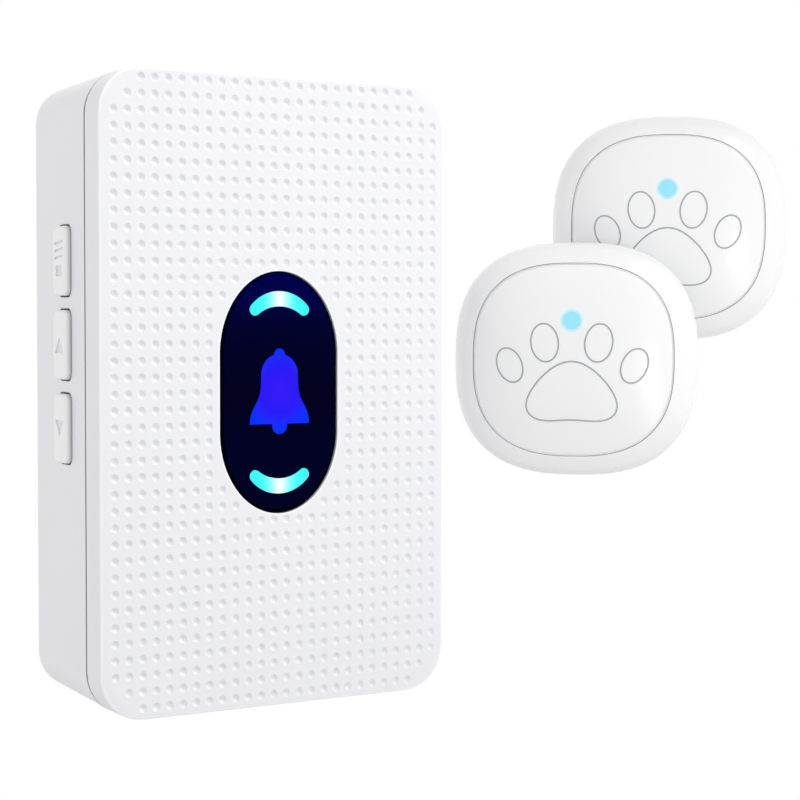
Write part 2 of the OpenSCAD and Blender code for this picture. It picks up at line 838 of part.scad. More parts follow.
module speaker_basket() {
    flange_back = flange_top - flange_t;
    inner = speaker_r - 3 * cone_lip;
    seat = magnet_r + 0.6;
    wall = 0.8;
    color(dark) {
        turned_on_speaker() {
            translate([inner, flange_back]) square([3 * cone_lip, flange_t]);
            polygon([
                [inner, flange_back], [inner + wall, flange_back],
                [seat, basket_top], [seat - wall, basket_top]
            ]);
            translate([magnet_r - 3, basket_top - wall]) square([seat - magnet_r + 3, wall]);
        }
        on_wall() translate([-tag_w / 2, lead_y - tag_t / 2, flange_top - flange_t / 2])
            cube([tag_w, tag_t, tag_z - flange_top + flange_t / 2]);
    }
}

module speaker_cone() {
    rim_top = flange_top - flange_t;
    paper_t = 0.4;
    inner = speaker_r - 3 * cone_lip - paper_t;
    coil_r = magnet_r - 4 * cone_lip;
    cone_top = basket_top - 3.5 * paper_t;
    cone_bottom = cone_top - paper_t;
    rim_bottom = rim_top - paper_t;
    slant = 0.3;
    color(dark) turned_on_speaker() {
        translate([inner, rim_bottom]) square([cone_lip, paper_t]);
        polygon([
            [inner, rim_bottom], [inner + slant, rim_bottom],
            [coil_r + slant, cone_top], [0, cone_top], [0, cone_bottom], [coil_r, cone_bottom]
        ]);
    }
}

module speaker_magnet() {
    color(steel) on_wall() post(0, speaker_y, magnet_r, basket_top, basket_top + magnet_t);
}

module speaker_clamp() {
    ear_r = post_r;
    color(steel) on_wall()
        difference() {
            slab(flange_top, ear_top) {
                translate([0, speaker_y]) circle(clamp_r);
                for (at = clamp_posts) {
                    translate(at) circle(ear_r);
                    translate([min(at[0], 0), speaker_y - ear_r]) square([clamp_ear_x, 2 * ear_r]);
                }
            }
            post(0, speaker_y, speaker_r - clamp_lap, flange_top - 1, ear_top + 1);
            for (at = clamp_posts) post(at[0], at[1], screw_hole_r, flange_top - 1, ear_top + 1);
        }
}

module speaker_leads() {
    color("firebrick") on_wall()
        for (x = [-lead_x, lead_x]) post(x, lead_y, lead_r, tag_z, main_z);
}

module transformer() {
    core_h = board_room - 1.2;
    limb = transformer_w / 5;
    color(dark) on_wall()
        translate([transformer_at[0], transformer_at[1], power_top]) {
            for (x = [-1, 1])
                translate([x * (transformer_w - limb) / 2 - limb / 2, -transformer_l / 3, 0])
                    cube([limb, transformer_l / 1.5, core_h]);
            translate([limb - transformer_w / 2, -transformer_l / 2, 0])
                cube([transformer_w - 2 * limb, transformer_l, core_h - 1]);
        }
}

module smoothing_capacitors() {
    color(dark) on_wall()
        for (at = capacitor_at) post(at[0], at[1], capacitor_dia / 2, power_top, main_z - 1);
}

module fuse() {
    color([0.35, 0.2, 0.1]) on_wall()
        post(fuse_at[0], fuse_at[1], fuse_dia / 2, power_top, power_top + board_room * 0.8);
}

module board_header() {
    color(dark) on_wall()
        translate([header_at[0] - header_w / 2, header_at[1] - header_l / 2, power_top])
            cube([header_w, header_l, board_room]);
}

module plug_blades() {
    nose = 1.6;
    half = blade_w / 2;
    color(brass) on_wall()
        for (x = [-1, 1])
            translate([x * blade_pitch / 2 - blade_t / 2, 0, 0]) rotate([90, 0, 90])
                linear_extrude(blade_t)
                    difference() {
                        polygon([
                            [-half, power_z], [half, power_z], [half, nose - blade_l],
                            [half - nose, -blade_l], [nose - half, -blade_l], [-half, nose - blade_l]
                        ]);
                        translate([0, -blade_hole_at]) circle(blade_hole_dia / 2);
                    }
}

module plug_block() {
    top = case_wall + plug_flange_t;
    color(dark) on_wall()
        difference() {
            union() {
                slab(0, top) rounded_rect(plug_w - 2 * fit_gap, plug_h - 2 * fit_gap, plug_r - fit_gap);
                slab(case_wall, top) rounded_rect(plug_w + 2 * plug_flange, plug_h + 2 * plug_flange, plug_r);
            }
            for (x = [-1, 1])
                slab(-1, top + 1) translate([x * blade_pitch / 2, 0])
                    square([blade_t + 2 * blade_slot_gap, blade_w + 2 * blade_slot_gap], center = true);
        }
}

// A transmitter is drawn lying on its back, then turned and moved to its place
module at_transmitter(i) {
    translate(tx_places[i - 1]) rotate([0, 0, tx_turn]) rotate([90, 0, 0]) children();
}

function signed_pow(v, e) = sign(v) * pow(abs(v), e);
function outline_point(s, k) = [
    s * half_w * signed_pow(cos(360 * k / outline_steps), 2 / tx_square),
    s * half_h * signed_pow(sin(360 * k / outline_steps), 2 / tx_square)
];
module outline(s) {
    polygon([for (k = [0:outline_steps - 1]) outline_point(s, k)]);
}

// Ring of one section point carried round the outline
function outline_ring(p) = [for (k = [0:outline_steps - 1]) concat(outline_point(p[0], k), [p[1]])];
function band(i, j) = [for (k = [0:outline_steps - 1])
    let (n = (k + 1) % outline_steps)
    each [[i + k, j + k, j + n], [i + k, j + n, i + n]]];

// Closed section of share and height carried round the outline
module swept_ring(section) {
    count = len(section);
    polyhedron(
        points = [for (p = section) each outline_ring(p)],
        faces = [for (i = [0:count - 1])
            each band(i * outline_steps, ((i + 1) % count) * outline_steps)]
    );
}

// The same, closed by a point on the axis at its start and its end
module swept_cap(start, section, finish) {
    count = len(section);
    first = count * outline_steps;
    last = (count - 1) * outline_steps;
    polyhedron(
        points = concat([for (p = section) each outline_ring(p)], [[0, 0, start], [0, 0, finish]]),
        faces = concat(
            [for (k = [0:outline_steps - 1]) [first, k, (k + 1) % outline_steps]],
            [for (i = [0:count - 2]) each band(i * outline_steps, (i + 1) * outline_steps)],
            [for (k = [0:outline_steps - 1]) [first + 1, last + (k + 1) % outline_steps, last + k]]
        )
    );
}

module transmitter_base(i) {
    rim = rim_z - seal_t;
    foot = 0.93;
    color(white) at_transmitter(i) {
        difference() {
            swept_cap(0, [
                [foot, 0], [foot + 0.03, rim * 0.08], [foot + 0.055, rim * 0.3],
                [foot + 0.068, rim * 0.65], [1, rim],
                [wall_share, rim], [wall_share, back_t]
            ], back_t);
            post(0, 0, door_r + door_gap, -1, back_t + 1);
            for (a = [door_turn, door_turn + 180])
                rotate([0, 0, a]) translate([0, -lug_w / 2 - run_gap, -1])
                    cube([lug_r + run_gap, lug_w + 2 * run_gap, back_t + 2]);
        }
        for (x = [-1, 1], y = [-1, 1])
            post(x * tx_post_at, y * tx_post_at, tx_post_r, back_t - 0.2, tx_board_z);
    }
}

module transmitter_bezel(i) {
    shares = [1, 0.993, 0.975, 0.95, 0.92, (bezel_share + 0.92) / 2, bezel_share];
    color(white) at_transmitter(i)
        swept_ring(concat(
            [for (s = shares) [s, dome(s)]],
            [[bezel_share, lip_z], [lip_share, lip_z], [wall_share, rim_z]]
        ));
}

module transmitter_press_pad(i) {
    inner_share = pad_share - pad_t / half_w;
    rounds = [0.12, 0.25, 0.38, 0.5, 0.62, 0.73];
    stem_r = tx_plunger_r + 0.3;
    color(white) at_transmitter(i)
        difference() {
            union() {
                swept_cap(tx_t - pad_t, concat(
                    [for (s = rounds) let (t = s * inner_share / pad_share) [t, dome(t) - pad_t]],
                    [
                        [inner_share, flange_z - pad_flange_t], [flange_share, flange_z - pad_flange_t],
                        [flange_share, flange_z], [pad_share, flange_z], [pad_share, dome(pad_share)]
                    ],
                    [for (k = [len(rounds) - 1:-1:0]) [rounds[k], dome(rounds[k])]]
                ), tx_t);
                post(0, 0, stem_r, tx_plunger_top, tx_t - pad_t + 0.3);
            }
            post(0, led_y, led_r + fit_gap / 2, tx_board_top, tx_t + 1);
        }
}

module transmitter_led_lens(i) {
    color(led_blue) at_transmitter(i) post(0, led_y, led_r, led_bottom, led_top);
}

module transmitter_board(i) {
    color(board_green) at_transmitter(i) slab(tx_board_z, tx_board_top) outline(tx_board_share);
}

module transmitter_board_led(i) {
    size = [2, 1.2, board_led_h];
    color("white") at_transmitter(i)
        translate([-size[0] / 2, led_y - size[1] / 2, tx_board_top]) cube(size);
}

module transmitter_switch(i) {
    bore_z = tx_switch_top - tx_plunger_in - pad_travel - run_gap;
    color(dark) at_transmitter(i)
        difference() {
            slab(tx_board_top, tx_switch_top) square(tx_switch_w, center = true);
            post(0, 0, tx_plunger_r + plunger_gap, bore_z, tx_switch_top + 1);
        }
}

module transmitter_switch_plunger(i) {
    color(rubber) at_transmitter(i)
        post(0, 0, tx_plunger_r, tx_switch_top - tx_plunger_in, tx_plunger_top);
}

module transmitter_coin_cell(i) {
    step = 0.4;
    color(steel) at_transmitter(i) {
        post(0, 0, cell_dia / 2 - 1.2, cell_z, cell_z + step);
        post(0, 0, cell_dia / 2, cell_z + step, clip_z);
    }
}

module transmitter_cell_clip(i) {
    clip_r = cell_dia / 2 - 3;
    foot_r = 0.8;
    color(brass) at_transmitter(i) {
        post(0, 0, clip_r, clip_z, clip_z + clip_t);
        for (a = [90, 210, 330])
            post((clip_r - 1) * cos(a), (clip_r - 1) * sin(a), foot_r, clip_z, tx_board_z);
    }
}

module transmitter_seal_ring(i) {
    recess = 0.3;
    color(rubber) at_transmitter(i)
        slab(rim_z - seal_t, rim_z)
            difference() {
                outline(1 - recess / half_w);
                outline(wall_share + recess / half_w);
            }
}

module transmitter_battery_door(i) {
    rim_top = back_t + door_gap + lug_t;
    slot = [door_dia * 0.6, 1.8, 1.4];
    color(white) at_transmitter(i)
        difference() {
            union() {
                post(0, 0, door_r, 0, back_t);
                difference() {
                    post(0, 0, door_r, back_t - 0.2, rim_top);
                    post(0, 0, door_r - door_rim_t, back_t, rim_top + 1);
                }
                difference() {
                    intersection() {
                        post(0, 0, lug_r, back_t + door_gap, rim_top);
                        translate([-lug_r, -lug_w / 2, 0]) cube([2 * lug_r, lug_w, rim_top]);
                    }
                    post(0, 0, door_r - door_rim_t / 2, back_t, rim_top + 1);
                }
            }
            cube(slot, center = true);
            difference() {
                post(0, 0, door_r + 1, back_t / 2 - seal_bead_r, back_t / 2 + seal_bead_r);
                post(0, 0, door_r - seal_groove_d, 0, back_t);
            }
        }
}

module transmitter_door_seal(i) {
    color(rubber) at_transmitter(i)
        translate([0, 0, back_t / 2])
            rotate_extrude() translate([door_r - seal_groove_d + seal_bead_r, 0]) circle(seal_bead_r - 0.02);
}

module transmitter_sticky_pad(i) {
    color(foam) at_transmitter(i)
        slab(-sticky_t, 0)
            difference() {
                outline(sticky_share);
                circle(lug_r + run_gap + 0.5);
            }
}

module transmitter_part(part, i) {
    if (part == "base") transmitter_base(i);
    if (part == "bezel") transmitter_bezel(i);
    if (part == "press_pad") transmitter_press_pad(i);
    if (part == "led_lens") transmitter_led_lens(i);
    if (part == "board") transmitter_board(i);
    if (part == "board_led") transmitter_board_led(i);
    if (part == "switch") transmitter_switch(i);
    if (part == "switch_plunger") transmitter_switch_plunger(i);
    if (part == "coin_cell") transmitter_coin_cell(i);
    if (part == "cell_clip") transmitter_cell_clip(i);
    if (part == "seal_ring") transmitter_seal_ring(i);
    if (part == "battery_door") transmitter_battery_door(i);
    if (part == "door_seal") transmitter_door_seal(i);
    if (part == "sticky_pad") transmitter_sticky_pad(i);
}

front_cover();
rear_case();
window_lens();
bell_light_guide();
arc_light_guides();
light_box();
main_board();
indicator_leds();
control_chip();
radio_aerial();
board_screws();
case_screws();
volume_button();
tune_up_button();
tune_down_button();
side_switches();
side_plunger(key_places[0]);  // volume_plunger
side_plunger(key_places[1]);  // tune_up_plunger
side_plunger(key_places[2]);  // tune_down_plunger
speaker_basket();
speaker_cone();
speaker_magnet();
speaker_clamp();
speaker_leads();
power_board();
transformer();
smoothing_capacitors();
fuse();
board_header();
plug_blades();
plug_block();
for (i = TRANSMITTERS)
    for (part = TRANSMITTER_PARTS)
        transmitter_part(part, i);
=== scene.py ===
import json
import math

import bmesh
import bpy
from mathutils import Matrix, Vector

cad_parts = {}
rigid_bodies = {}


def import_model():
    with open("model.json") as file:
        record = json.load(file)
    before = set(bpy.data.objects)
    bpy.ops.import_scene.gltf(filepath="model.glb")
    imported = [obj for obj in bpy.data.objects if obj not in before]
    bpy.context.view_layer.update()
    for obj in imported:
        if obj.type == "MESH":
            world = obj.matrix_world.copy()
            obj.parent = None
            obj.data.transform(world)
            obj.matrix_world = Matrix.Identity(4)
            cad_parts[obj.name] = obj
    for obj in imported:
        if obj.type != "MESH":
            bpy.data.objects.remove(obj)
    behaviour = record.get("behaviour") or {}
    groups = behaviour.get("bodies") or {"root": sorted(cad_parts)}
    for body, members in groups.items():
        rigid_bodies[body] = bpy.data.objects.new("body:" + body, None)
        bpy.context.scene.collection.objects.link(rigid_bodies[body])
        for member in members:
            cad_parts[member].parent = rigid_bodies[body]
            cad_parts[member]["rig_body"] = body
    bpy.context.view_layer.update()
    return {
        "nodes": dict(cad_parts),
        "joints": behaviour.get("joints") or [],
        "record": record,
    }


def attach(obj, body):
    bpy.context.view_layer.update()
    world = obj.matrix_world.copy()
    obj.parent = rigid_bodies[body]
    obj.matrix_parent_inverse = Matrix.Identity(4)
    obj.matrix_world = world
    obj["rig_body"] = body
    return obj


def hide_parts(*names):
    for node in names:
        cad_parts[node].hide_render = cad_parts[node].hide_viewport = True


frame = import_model()
mm = 0.001
print("frame loaded:", len(frame["nodes"]), "nodes")


class Wire:
    # a socket that takes part in plain sums

    def __init__(self, sheet, socket):
        self.sheet = sheet
        self.socket = socket

    def calc(self, operation, first, second):
        return self.sheet.add("ShaderNodeMath", {"operation": operation}, {0: first, 1: second})

    def __add__(self, other):
        return self.calc("ADD", self, other)

    def __radd__(self, other):
        return self.calc("ADD", other, self)

    def __mul__(self, other):
        return self.calc("MULTIPLY", self, other)

    def __rmul__(self, other):
        return self.calc("MULTIPLY", other, self)

    def __truediv__(self, other):
        return self.calc("DIVIDE", self, other)


class NodeSheet:
    # one node tree and the few ways it gets its nodes

    def __init__(self, tree):
        self.tree = tree

    def add(self, kind, settings=None, sockets=None, out=0):
        node = self.tree.nodes.new(kind)
        for key, value in (settings or {}).items():
            if key == "stops":
                self.setStops(node.color_ramp, value)
            else:
                setattr(node, key, value)
        self.feed(node, sockets or {})
        return Wire(self, node.outputs[out]) if node.outputs else node

    def feed(self, node, sockets):
        for key, value in sockets.items():
            if isinstance(value, Wire):
                self.tree.links.new(value.socket, node.inputs[key])
            else:
                node.inputs[key].default_value = value

    def setStops(self, ramp, stops):
        while len(ramp.elements) < len(stops):
            ramp.elements.new(0.5)
        for element, (place, colour) in zip(ramp.elements, stops):
            element.position = place
            element.color = colour

    def mix(self, factor, first, second):
        # the node's inputs 6 and 7 and its output 2 are the ones for colours
        return self.add("ShaderNodeMix", {"data_type": "RGBA"}, {0: factor, 6: first, 7: second}, out=2)


class Finish(NodeSheet):
    # a material whose patterns lie on Object coordinates

    def __init__(self, name):
        self.material = bpy.data.materials.new(name)
        self.material.use_nodes = True
        super().__init__(self.material.node_tree)
        self.shader = self.tree.nodes["Principled BSDF"]
        self.place = self.add("ShaderNodeTexCoord", out="Object")

    def noise(self, grains, detail=2):
        return self.add("ShaderNodeTexNoise", {}, {"Vector": self.place, "Scale": grains, "Detail": detail})

    def ramp(self, factor, stops):
        return self.add("ShaderNodeValToRGB", {"stops": stops}, {0: factor})

    def bump(self, height, depth):
        return self.add("ShaderNodeBump", {}, {"Height": height, "Distance": depth, "Strength": 1.0})

    def show(self, sockets):
        self.feed(self.shader, sockets)
        return self.material


def paint(red, green, blue):
    # a colour as the eye reads it, 0 to 255, turned into light
    shares = [value / 255 for value in (red, green, blue)]
    return [s / 12.92 if s <= 0.04045 else ((s + 0.055) / 1.055) ** 2.4 for s in shares] + [1.0]


def paintStops(stops):
    return [(place, paint(*colour)) for place, colour in stops]


def darker(colour, share):
    return [value * share for value in colour[:3]] + [1.0]


white = (1, 1, 1, 1)
black = (0, 0, 0, 1)


def putIn(name, data):
    # makes an object and puts it in the scene
    item = bpy.data.objects.new(name, data)
    bpy.context.scene.collection.objects.link(item)
    return item


photoView = {
    "place": (-141.0 * mm, -301.8 * mm, 13.06 * mm),
    "look": (0.5119, 0.8578, -0.0462),
    "up": (0.0214, 0.0410, 0.9989),
    "lens": 88.65, "sensor": 36, "nearest": 0.01,
}


def setCamera():
    lens = bpy.data.cameras.new("photoCamera")
    lens.lens = photoView["lens"]
    lens.sensor_width = photoView["sensor"]
    lens.clip_start = photoView["nearest"]
    look = Vector(photoView["look"]).normalized()
    right = look.cross(Vector(photoView["up"])).normalized()
    up = right.cross(look)
    turn = Matrix((right, up, -look)).transposed().to_4x4()
    camera = putIn("photoCamera", lens)
    camera.matrix_world = Matrix.Translation(photoView["place"]) @ turn
    bpy.context.scene.camera = camera


studio = {
    "ambient": 0.88, "lean": (0.05, 0, -0.34),  # a room that is brighter from below than from above
    "lamps": {
        "keyLamp": {"place": (0.14, -0.22, 0.34), "size": (0.16, 0.16), "aim": (-40, -29, 22), "spread": 40,
                    "power": 0.052},
        "lowLamp": {"place": (0.12, -0.5, -0.2), "size": (0.18, 0.18), "aim": (98, -35, 0), "spread": 30,
                    "power": 0.0102},
        "buttonLamp": {"place": (0.02, -0.55, -0.05), "size": (0.12, 0.12), "aim": (100, -35, 8), "spread": 20,
                       "power": 0.0066},
        "edgeLamp": {"place": (-0.9, -0.55, 0.1), "size": (0.06, 0.9), "aim": (20, -20, 5), "spread": 180,
                     "power": 0.1},
        "rimLamp": {"place": (-0.75, 0.45, 0.2), "size": (0.3, 0.6), "aim": (20, -20, 5), "spread": 180,
                    "power": 0.25},
    },
}


def setLamps():
    for name, lamp in studio["lamps"].items():
        light = bpy.data.lights.new(name, "AREA")
        light.shape = "RECTANGLE"
        light.size, light.size_y = lamp["size"]
        light.energy = lamp["power"]
        light.spread = math.radians(lamp["spread"])
        holder = putIn(name, light)
        holder.location = lamp["place"]
        aim = Vector(lamp["aim"]) * mm - holder.location
        holder.rotation_euler = aim.to_track_quat("-Z", "Y").to_euler()


def setSurround():
    world = bpy.data.worlds.new("whiteRoom")
    world.use_nodes = True
    bpy.context.scene.world = world
    sheet = NodeSheet(world.node_tree)
    world.node_tree.nodes.clear()
    seen = [sheet.add("ShaderNodeLightPath", out=ray) for ray in (
        "Is Camera Ray", "Is Glossy Ray", "Is Transmission Ray")]
    towards = sheet.add("ShaderNodeTexCoord", out="Generated")
    lean = sheet.add("ShaderNodeVectorMath", {"operation": "DOT_PRODUCT"}, {
        0: towards, 1: studio["lean"]}, out="Value")
    plain = sheet.add("ShaderNodeBackground", {}, {"Color": white, "Strength": studio["ambient"] + lean})
    bright = sheet.add("ShaderNodeBackground", {}, {"Color": white, "Strength": 1.0})
    both = sheet.add("ShaderNodeMixShader", {}, {0: seen[0] + seen[1] + seen[2], 1: plain, 2: bright})
    sheet.add("ShaderNodeOutputWorld", {}, {"Surface": both})


floorForm = {
    "depth": -0.30, "radius": 0.85, "fadeFrom": 0.45, "fadeTo": 0.8, "sides": 96,
    "grain": 9, "tones": [(243, 243, 243), (247, 247, 247)], "rough": 0.8,
}


def setFloor():
    form = floorForm
    bm = bmesh.new()
    bmesh.ops.create_circle(bm, cap_ends=True, segments=form["sides"], radius=form["radius"])
    bmesh.ops.translate(bm, verts=bm.verts, vec=(0, 0, form["depth"]))
    mesh = bpy.data.meshes.new("floor")
    bm.to_mesh(mesh)
    bm.free()
    floor = putIn("floor", mesh)
    finish = Finish("paleFloor")
    flat = finish.add("ShaderNodeVectorMath", {"operation": "MULTIPLY"}, {0: finish.place, 1: (1, 1, 0)})
    reach = finish.add("ShaderNodeVectorMath", {"operation": "LENGTH"}, {0: flat}, out="Value")
    fade = finish.add("ShaderNodeMapRange", {"interpolation_type": "SMOOTHSTEP"}, {
        "Value": reach, "From Min": form["fadeFrom"], "From Max": form["fadeTo"]})
    pale = finish.mix(finish.noise(form["grain"]), *[paint(*tone) for tone in form["tones"]])
    finish.show({"Base Color": pale, "Roughness": form["rough"]})
    clear = finish.add("ShaderNodeBsdfTransparent")
    solid = Wire(finish, finish.shader.outputs[0])
    both = finish.add("ShaderNodeMixShader", {}, {0: fade, 1: solid, 2: clear})
    finish.feed(finish.tree.nodes["Material Output"], {"Surface": both})
    mesh.materials.append(finish.material)


plasticLook = {
    "cloud": 45, "cloudDetail": 3, "drift": 0.97, "grain": 9000, "depth": 0.004 * mm, "roughSpread": 0.05,
    "bend": 1.46,
}


def plasticSkin(finish, tone, rough, look=plasticLook):
    fine = finish.noise(look["grain"])
    return finish.show({
        "Base Color": tone,
        "Roughness": rough - look["roughSpread"] + 2 * look["roughSpread"] * fine,
        "Normal": finish.bump(fine, look["depth"]),
        "IOR": look["bend"],
    })


def mouldedPlastic(name, colour, rough, **changes):
    look = plasticLook | changes
    finish = Finish(name)
    cloud = finish.noise(look["cloud"], look["cloudDetail"])
    tone = finish.mix(cloud, darker(colour, look["drift"]), colour)
    return plasticSkin(finish, tone, rough, look)


metalLook = {
    "lines": 4000, "lineDetail": 3, "lineShare": 0.4, "cloud": 200, "drift": 0.8, "roughSpread": 0.08,
    "depth": 0.003 * mm,
}


def platedMetal(name, colour, rough):
    look = metalLook
    finish = Finish(name)
    lines = finish.noise(look["lines"], look["lineDetail"])
    cloud = finish.noise(look["cloud"])
    both = cloud * (1 - look["lineShare"]) + lines * look["lineShare"]
    return finish.show({
        "Base Color": finish.mix(both, darker(colour, look["drift"]), colour),
        "Metallic": 1.0,
        "Roughness": rough - look["roughSpread"] + 2 * look["roughSpread"] * lines,
        "Normal": finish.bump(lines, look["depth"]),
    })


boardLook = {
    "tracks": 260, "trackEdge": (0.06, 0.09), "tones": [(18, 78, 44), (40, 122, 70)],
    "rough": 0.35, "roughSpread": 0.1, "grain": 3000, "depth": 0.02 * mm,
}


def solderMask(name):
    look = boardLook
    finish = Finish(name)
    tracks = finish.add("ShaderNodeTexVoronoi", {"feature": "DISTANCE_TO_EDGE"}, {
        "Vector": finish.place, "Scale": look["tracks"]})
    near, far = look["trackEdge"]
    lines = finish.ramp(tracks, [(0.0, white), (near, white), (far, black)])
    return finish.show({
        "Base Color": finish.mix(lines, *[paint(*tone) for tone in look["tones"]]),
        "Roughness": look["rough"] + look["roughSpread"] * finish.noise(look["grain"]),
        "Normal": finish.bump(lines, look["depth"]),
    })


def stretched(finish, centre, reach):
    # how far a point lies from a centre, counted in reaches
    moved = finish.add("ShaderNodeVectorMath", {"operation": "SUBTRACT"}, {
        0: finish.place, 1: [value * mm for value in centre]})
    scaled = finish.add("ShaderNodeVectorMath", {"operation": "MULTIPLY"}, {
        0: moved, 1: [1 / (value * mm) if value else 0 for value in reach]})
    return finish.add("ShaderNodeVectorMath", {"operation": "LENGTH"}, {0: scaled}, out="Value")


guideLook = {
    "cloud": 900, "cloudShare": 0.04, "dim": 0.96, "rough": 0.3, "gloss": 0.02, "strength": 0.97,
}


def litGuide(name, stops, centre=(0, 0, 0), reach=(0, 0, 0)):
    # a lit piece of clear plastic: its colour changes with the distance from its lamp
    look = guideLook
    finish = Finish(name)
    far = stretched(finish, centre, reach) + look["cloudShare"] * finish.noise(look["cloud"])
    tone = finish.ramp(far, paintStops(stops))
    return finish.show({
        "Base Color": finish.mix(look["dim"], tone, black),
        "Roughness": look["rough"],
        "Specular IOR Level": look["gloss"],
        "Emission Color": tone,
        "Emission Strength": look["strength"],
    })


def alongAxis(finish, axis, low, high):
    # a share that grows from 0 to 1 between two places on an axis, in millimetres
    place = finish.add("ShaderNodeSeparateXYZ", {}, {0: finish.place}, out=axis) / mm
    return finish.add("ShaderNodeMapRange", {}, {"Value": place, "From Min": low, "From Max": high})


lensLook = {
    "half": 18.8, "grain": 700, "tint": (4, 2, 70), "tintShare": 0.06, "rough": 0.1, "roughSpread": 0.06,
    "depth": 0.002 * mm,
}


def smokedLensPaintedLight(name, tones, gloss):
    # dark glazing with painted light: its blue is painted lighter by height, for the glow round the lit arcs and
    # for a highlight along the top of the window's edge
    look = lensLook
    finish = Finish(name)
    high = alongAxis(finish, "Z", -look["half"], look["half"])
    tone = finish.ramp(high, [(place, paint(0, 0, blue)) for place, blue in tones])
    fine = finish.noise(look["grain"])
    return finish.show({
        "Base Color": finish.mix(look["tintShare"] * fine, tone, paint(*look["tint"])),
        "Roughness": look["rough"] + look["roughSpread"] * fine,
        "Specular IOR Level": gloss,
        "Normal": finish.bump(fine, look["depth"]),
    })


# painted shade on the keys: grey stops along x, from the key's face down to its root in the case
keyPaintedShadeLook = {
    "root": (-30.6, -29.4), "rough": 0.41,
    "stops": [(0.0, (253, 253, 253)), (0.3, (234, 234, 236)), (0.65, (196, 196, 199)), (1.0, (120, 120, 124))],
}


def paintedShadeKey(name):
    # key plastic with painted shade: its colour is painted darker towards its root inside the case, where the case
    # shades it
    finish = Finish(name)
    shade = finish.ramp(alongAxis(finish, "X", *keyPaintedShadeLook["root"]), paintStops(keyPaintedShadeLook["stops"]))
    return plasticSkin(finish, shade, keyPaintedShadeLook["rough"])


slotFinishes = {
    "case_white": mouldedPlastic("caseWhite", paint(243, 243, 247), 0.34),
    "key_white": paintedShadeKey("keyWhitePaintedShade"),
    # painted glow: the window's blue is painted lighter near the top, round the lit arcs
    "window_navy": smokedLensPaintedLight("windowNavyPaintedGlow", [(0.0, 32), (0.15, 36), (0.32, 34), (0.5, 26), (0.7, 38), (0.8, 46),
                                             (0.88, 70), (1.0, 76)], 0.012),
    "bell_light": litGuide("bellLight", [(0.0, (54, 26, 245)), (0.55, (42, 24, 248)), (1.0, (4, 50, 250))],
                           (0, 0, 0.4), (6.2, 0, 6.6)),
    "arc_light": litGuide("arcLight", [(0.0, (246, 255, 254)), (0.09, (238, 255, 253)), (0.2, (192, 254, 251)),
                                       (0.33, (138, 253, 251)), (0.46, (92, 253, 252)), (0.62, (68, 251, 251)),
                                       (1.0, (64, 246, 249))], (0, 0, 0), (5.6, 0, 0)),
    "led_light": litGuide("ledLight", [(0.0, (152, 227, 249)), (0.04, (164, 233, 251))]),
    "reflector_white": mouldedPlastic("reflectorWhite", paint(240, 240, 240), 0.6),
    "circuit_board": solderMask("circuitBoard"),
    "chip_black": mouldedPlastic("chipBlack", paint(30, 30, 32), 0.55),
    "switch_black": mouldedPlastic("switchBlack", paint(38, 38, 40), 0.5),
    "board_light": mouldedPlastic("boardLight", paint(245, 240, 205), 0.25),
    "copper_wire": platedMetal("copperWire", paint(214, 140, 90), 0.3),
    "lead_red": mouldedPlastic("leadRed", paint(180, 30, 30), 0.5),
    "screw_steel": platedMetal("screwSteel", paint(205, 206, 210), 0.3),
    "cell_steel": platedMetal("cellSteel", paint(214, 215, 218), 0.25),
    "magnet_steel": platedMetal("magnetSteel", paint(178, 180, 184), 0.4),
    "speaker_black": mouldedPlastic("speakerBlack", paint(36, 36, 38), 0.45),
    "cone_paper": mouldedPlastic("conePaper", paint(52, 50, 48), 0.9, grain=3000, depth=0.03 * mm),
    "core_black": mouldedPlastic("coreBlack", paint(44, 44, 46), 0.7, grain=2500, depth=0.02 * mm),
    "capacitor_can": mouldedPlastic("capacitorCan", paint(34, 40, 70), 0.35),
    "fuse_brown": mouldedPlastic("fuseBrown", paint(120, 76, 48), 0.45),
    "plug_brass": platedMetal("plugBrass", paint(226, 218, 200), 0.28),
    "plug_white": mouldedPlastic("plugWhite", paint(232, 232, 234), 0.5),
    "clip_brass": platedMetal("clipBrass", paint(214, 190, 130), 0.3),
    "seal_grey": mouldedPlastic("sealGrey", paint(120, 120, 124), 0.8),
    "sticky_foam": mouldedPlastic("stickyFoam", paint(222, 224, 226), 0.9, grain=2500, depth=0.05 * mm),
}
# painted shade: a greyer plastic for the signs sunk into the keys
signPaintedShade = mouldedPlastic("signPaintedShade", paint(242, 242, 244), 0.5)
# painted shade: grey for the paw grooves cut into the pads, where the grooves lie in shade
groovePaintedShade = mouldedPlastic("groovePaintedShade", paint(183, 185, 190), 0.5)
# painted shadow: near-black plastic for the strip that darkens the seam groove
seamPaintedShadow = mouldedPlastic("seamPaintedShadow", paint(40, 40, 44), 0.8)
ledEdge = litGuide("ledEdge", [(0.0, (192, 238, 252)), (0.04, (200, 242, 252))])
# painted highlight: the window's rounded edge is painted lighter blue along its top
lensEdgePaintedHighlight = smokedLensPaintedLight("lensEdgePaintedHighlight", [(0.0, 12), (0.6, 10), (0.85, 24), (1.0, 60)], 0.004)
# painted highlight: a whiter plastic, also glossier, on the cover's rounded front edge and round the window
rimPaintedHighlight = mouldedPlastic("rimPaintedHighlight", paint(254, 254, 255), 0.16, depth=0.001 * mm, drift=0.99)
buttonWhite = mouldedPlastic("buttonWhite", paint(250, 250, 250), 0.22, depth=0.002 * mm, drift=0.985)


slotOf = {part["node"]: part["material_slot"] for part in frame["record"]["subparts"]}


def dressNodes():
    for name, node in frame["nodes"].items():
        node.data.materials.clear()
        node.data.materials.append(slotFinishes[slotOf[name]])


setCamera()
setLamps()
setSurround()
setFloor()
print("stage set")


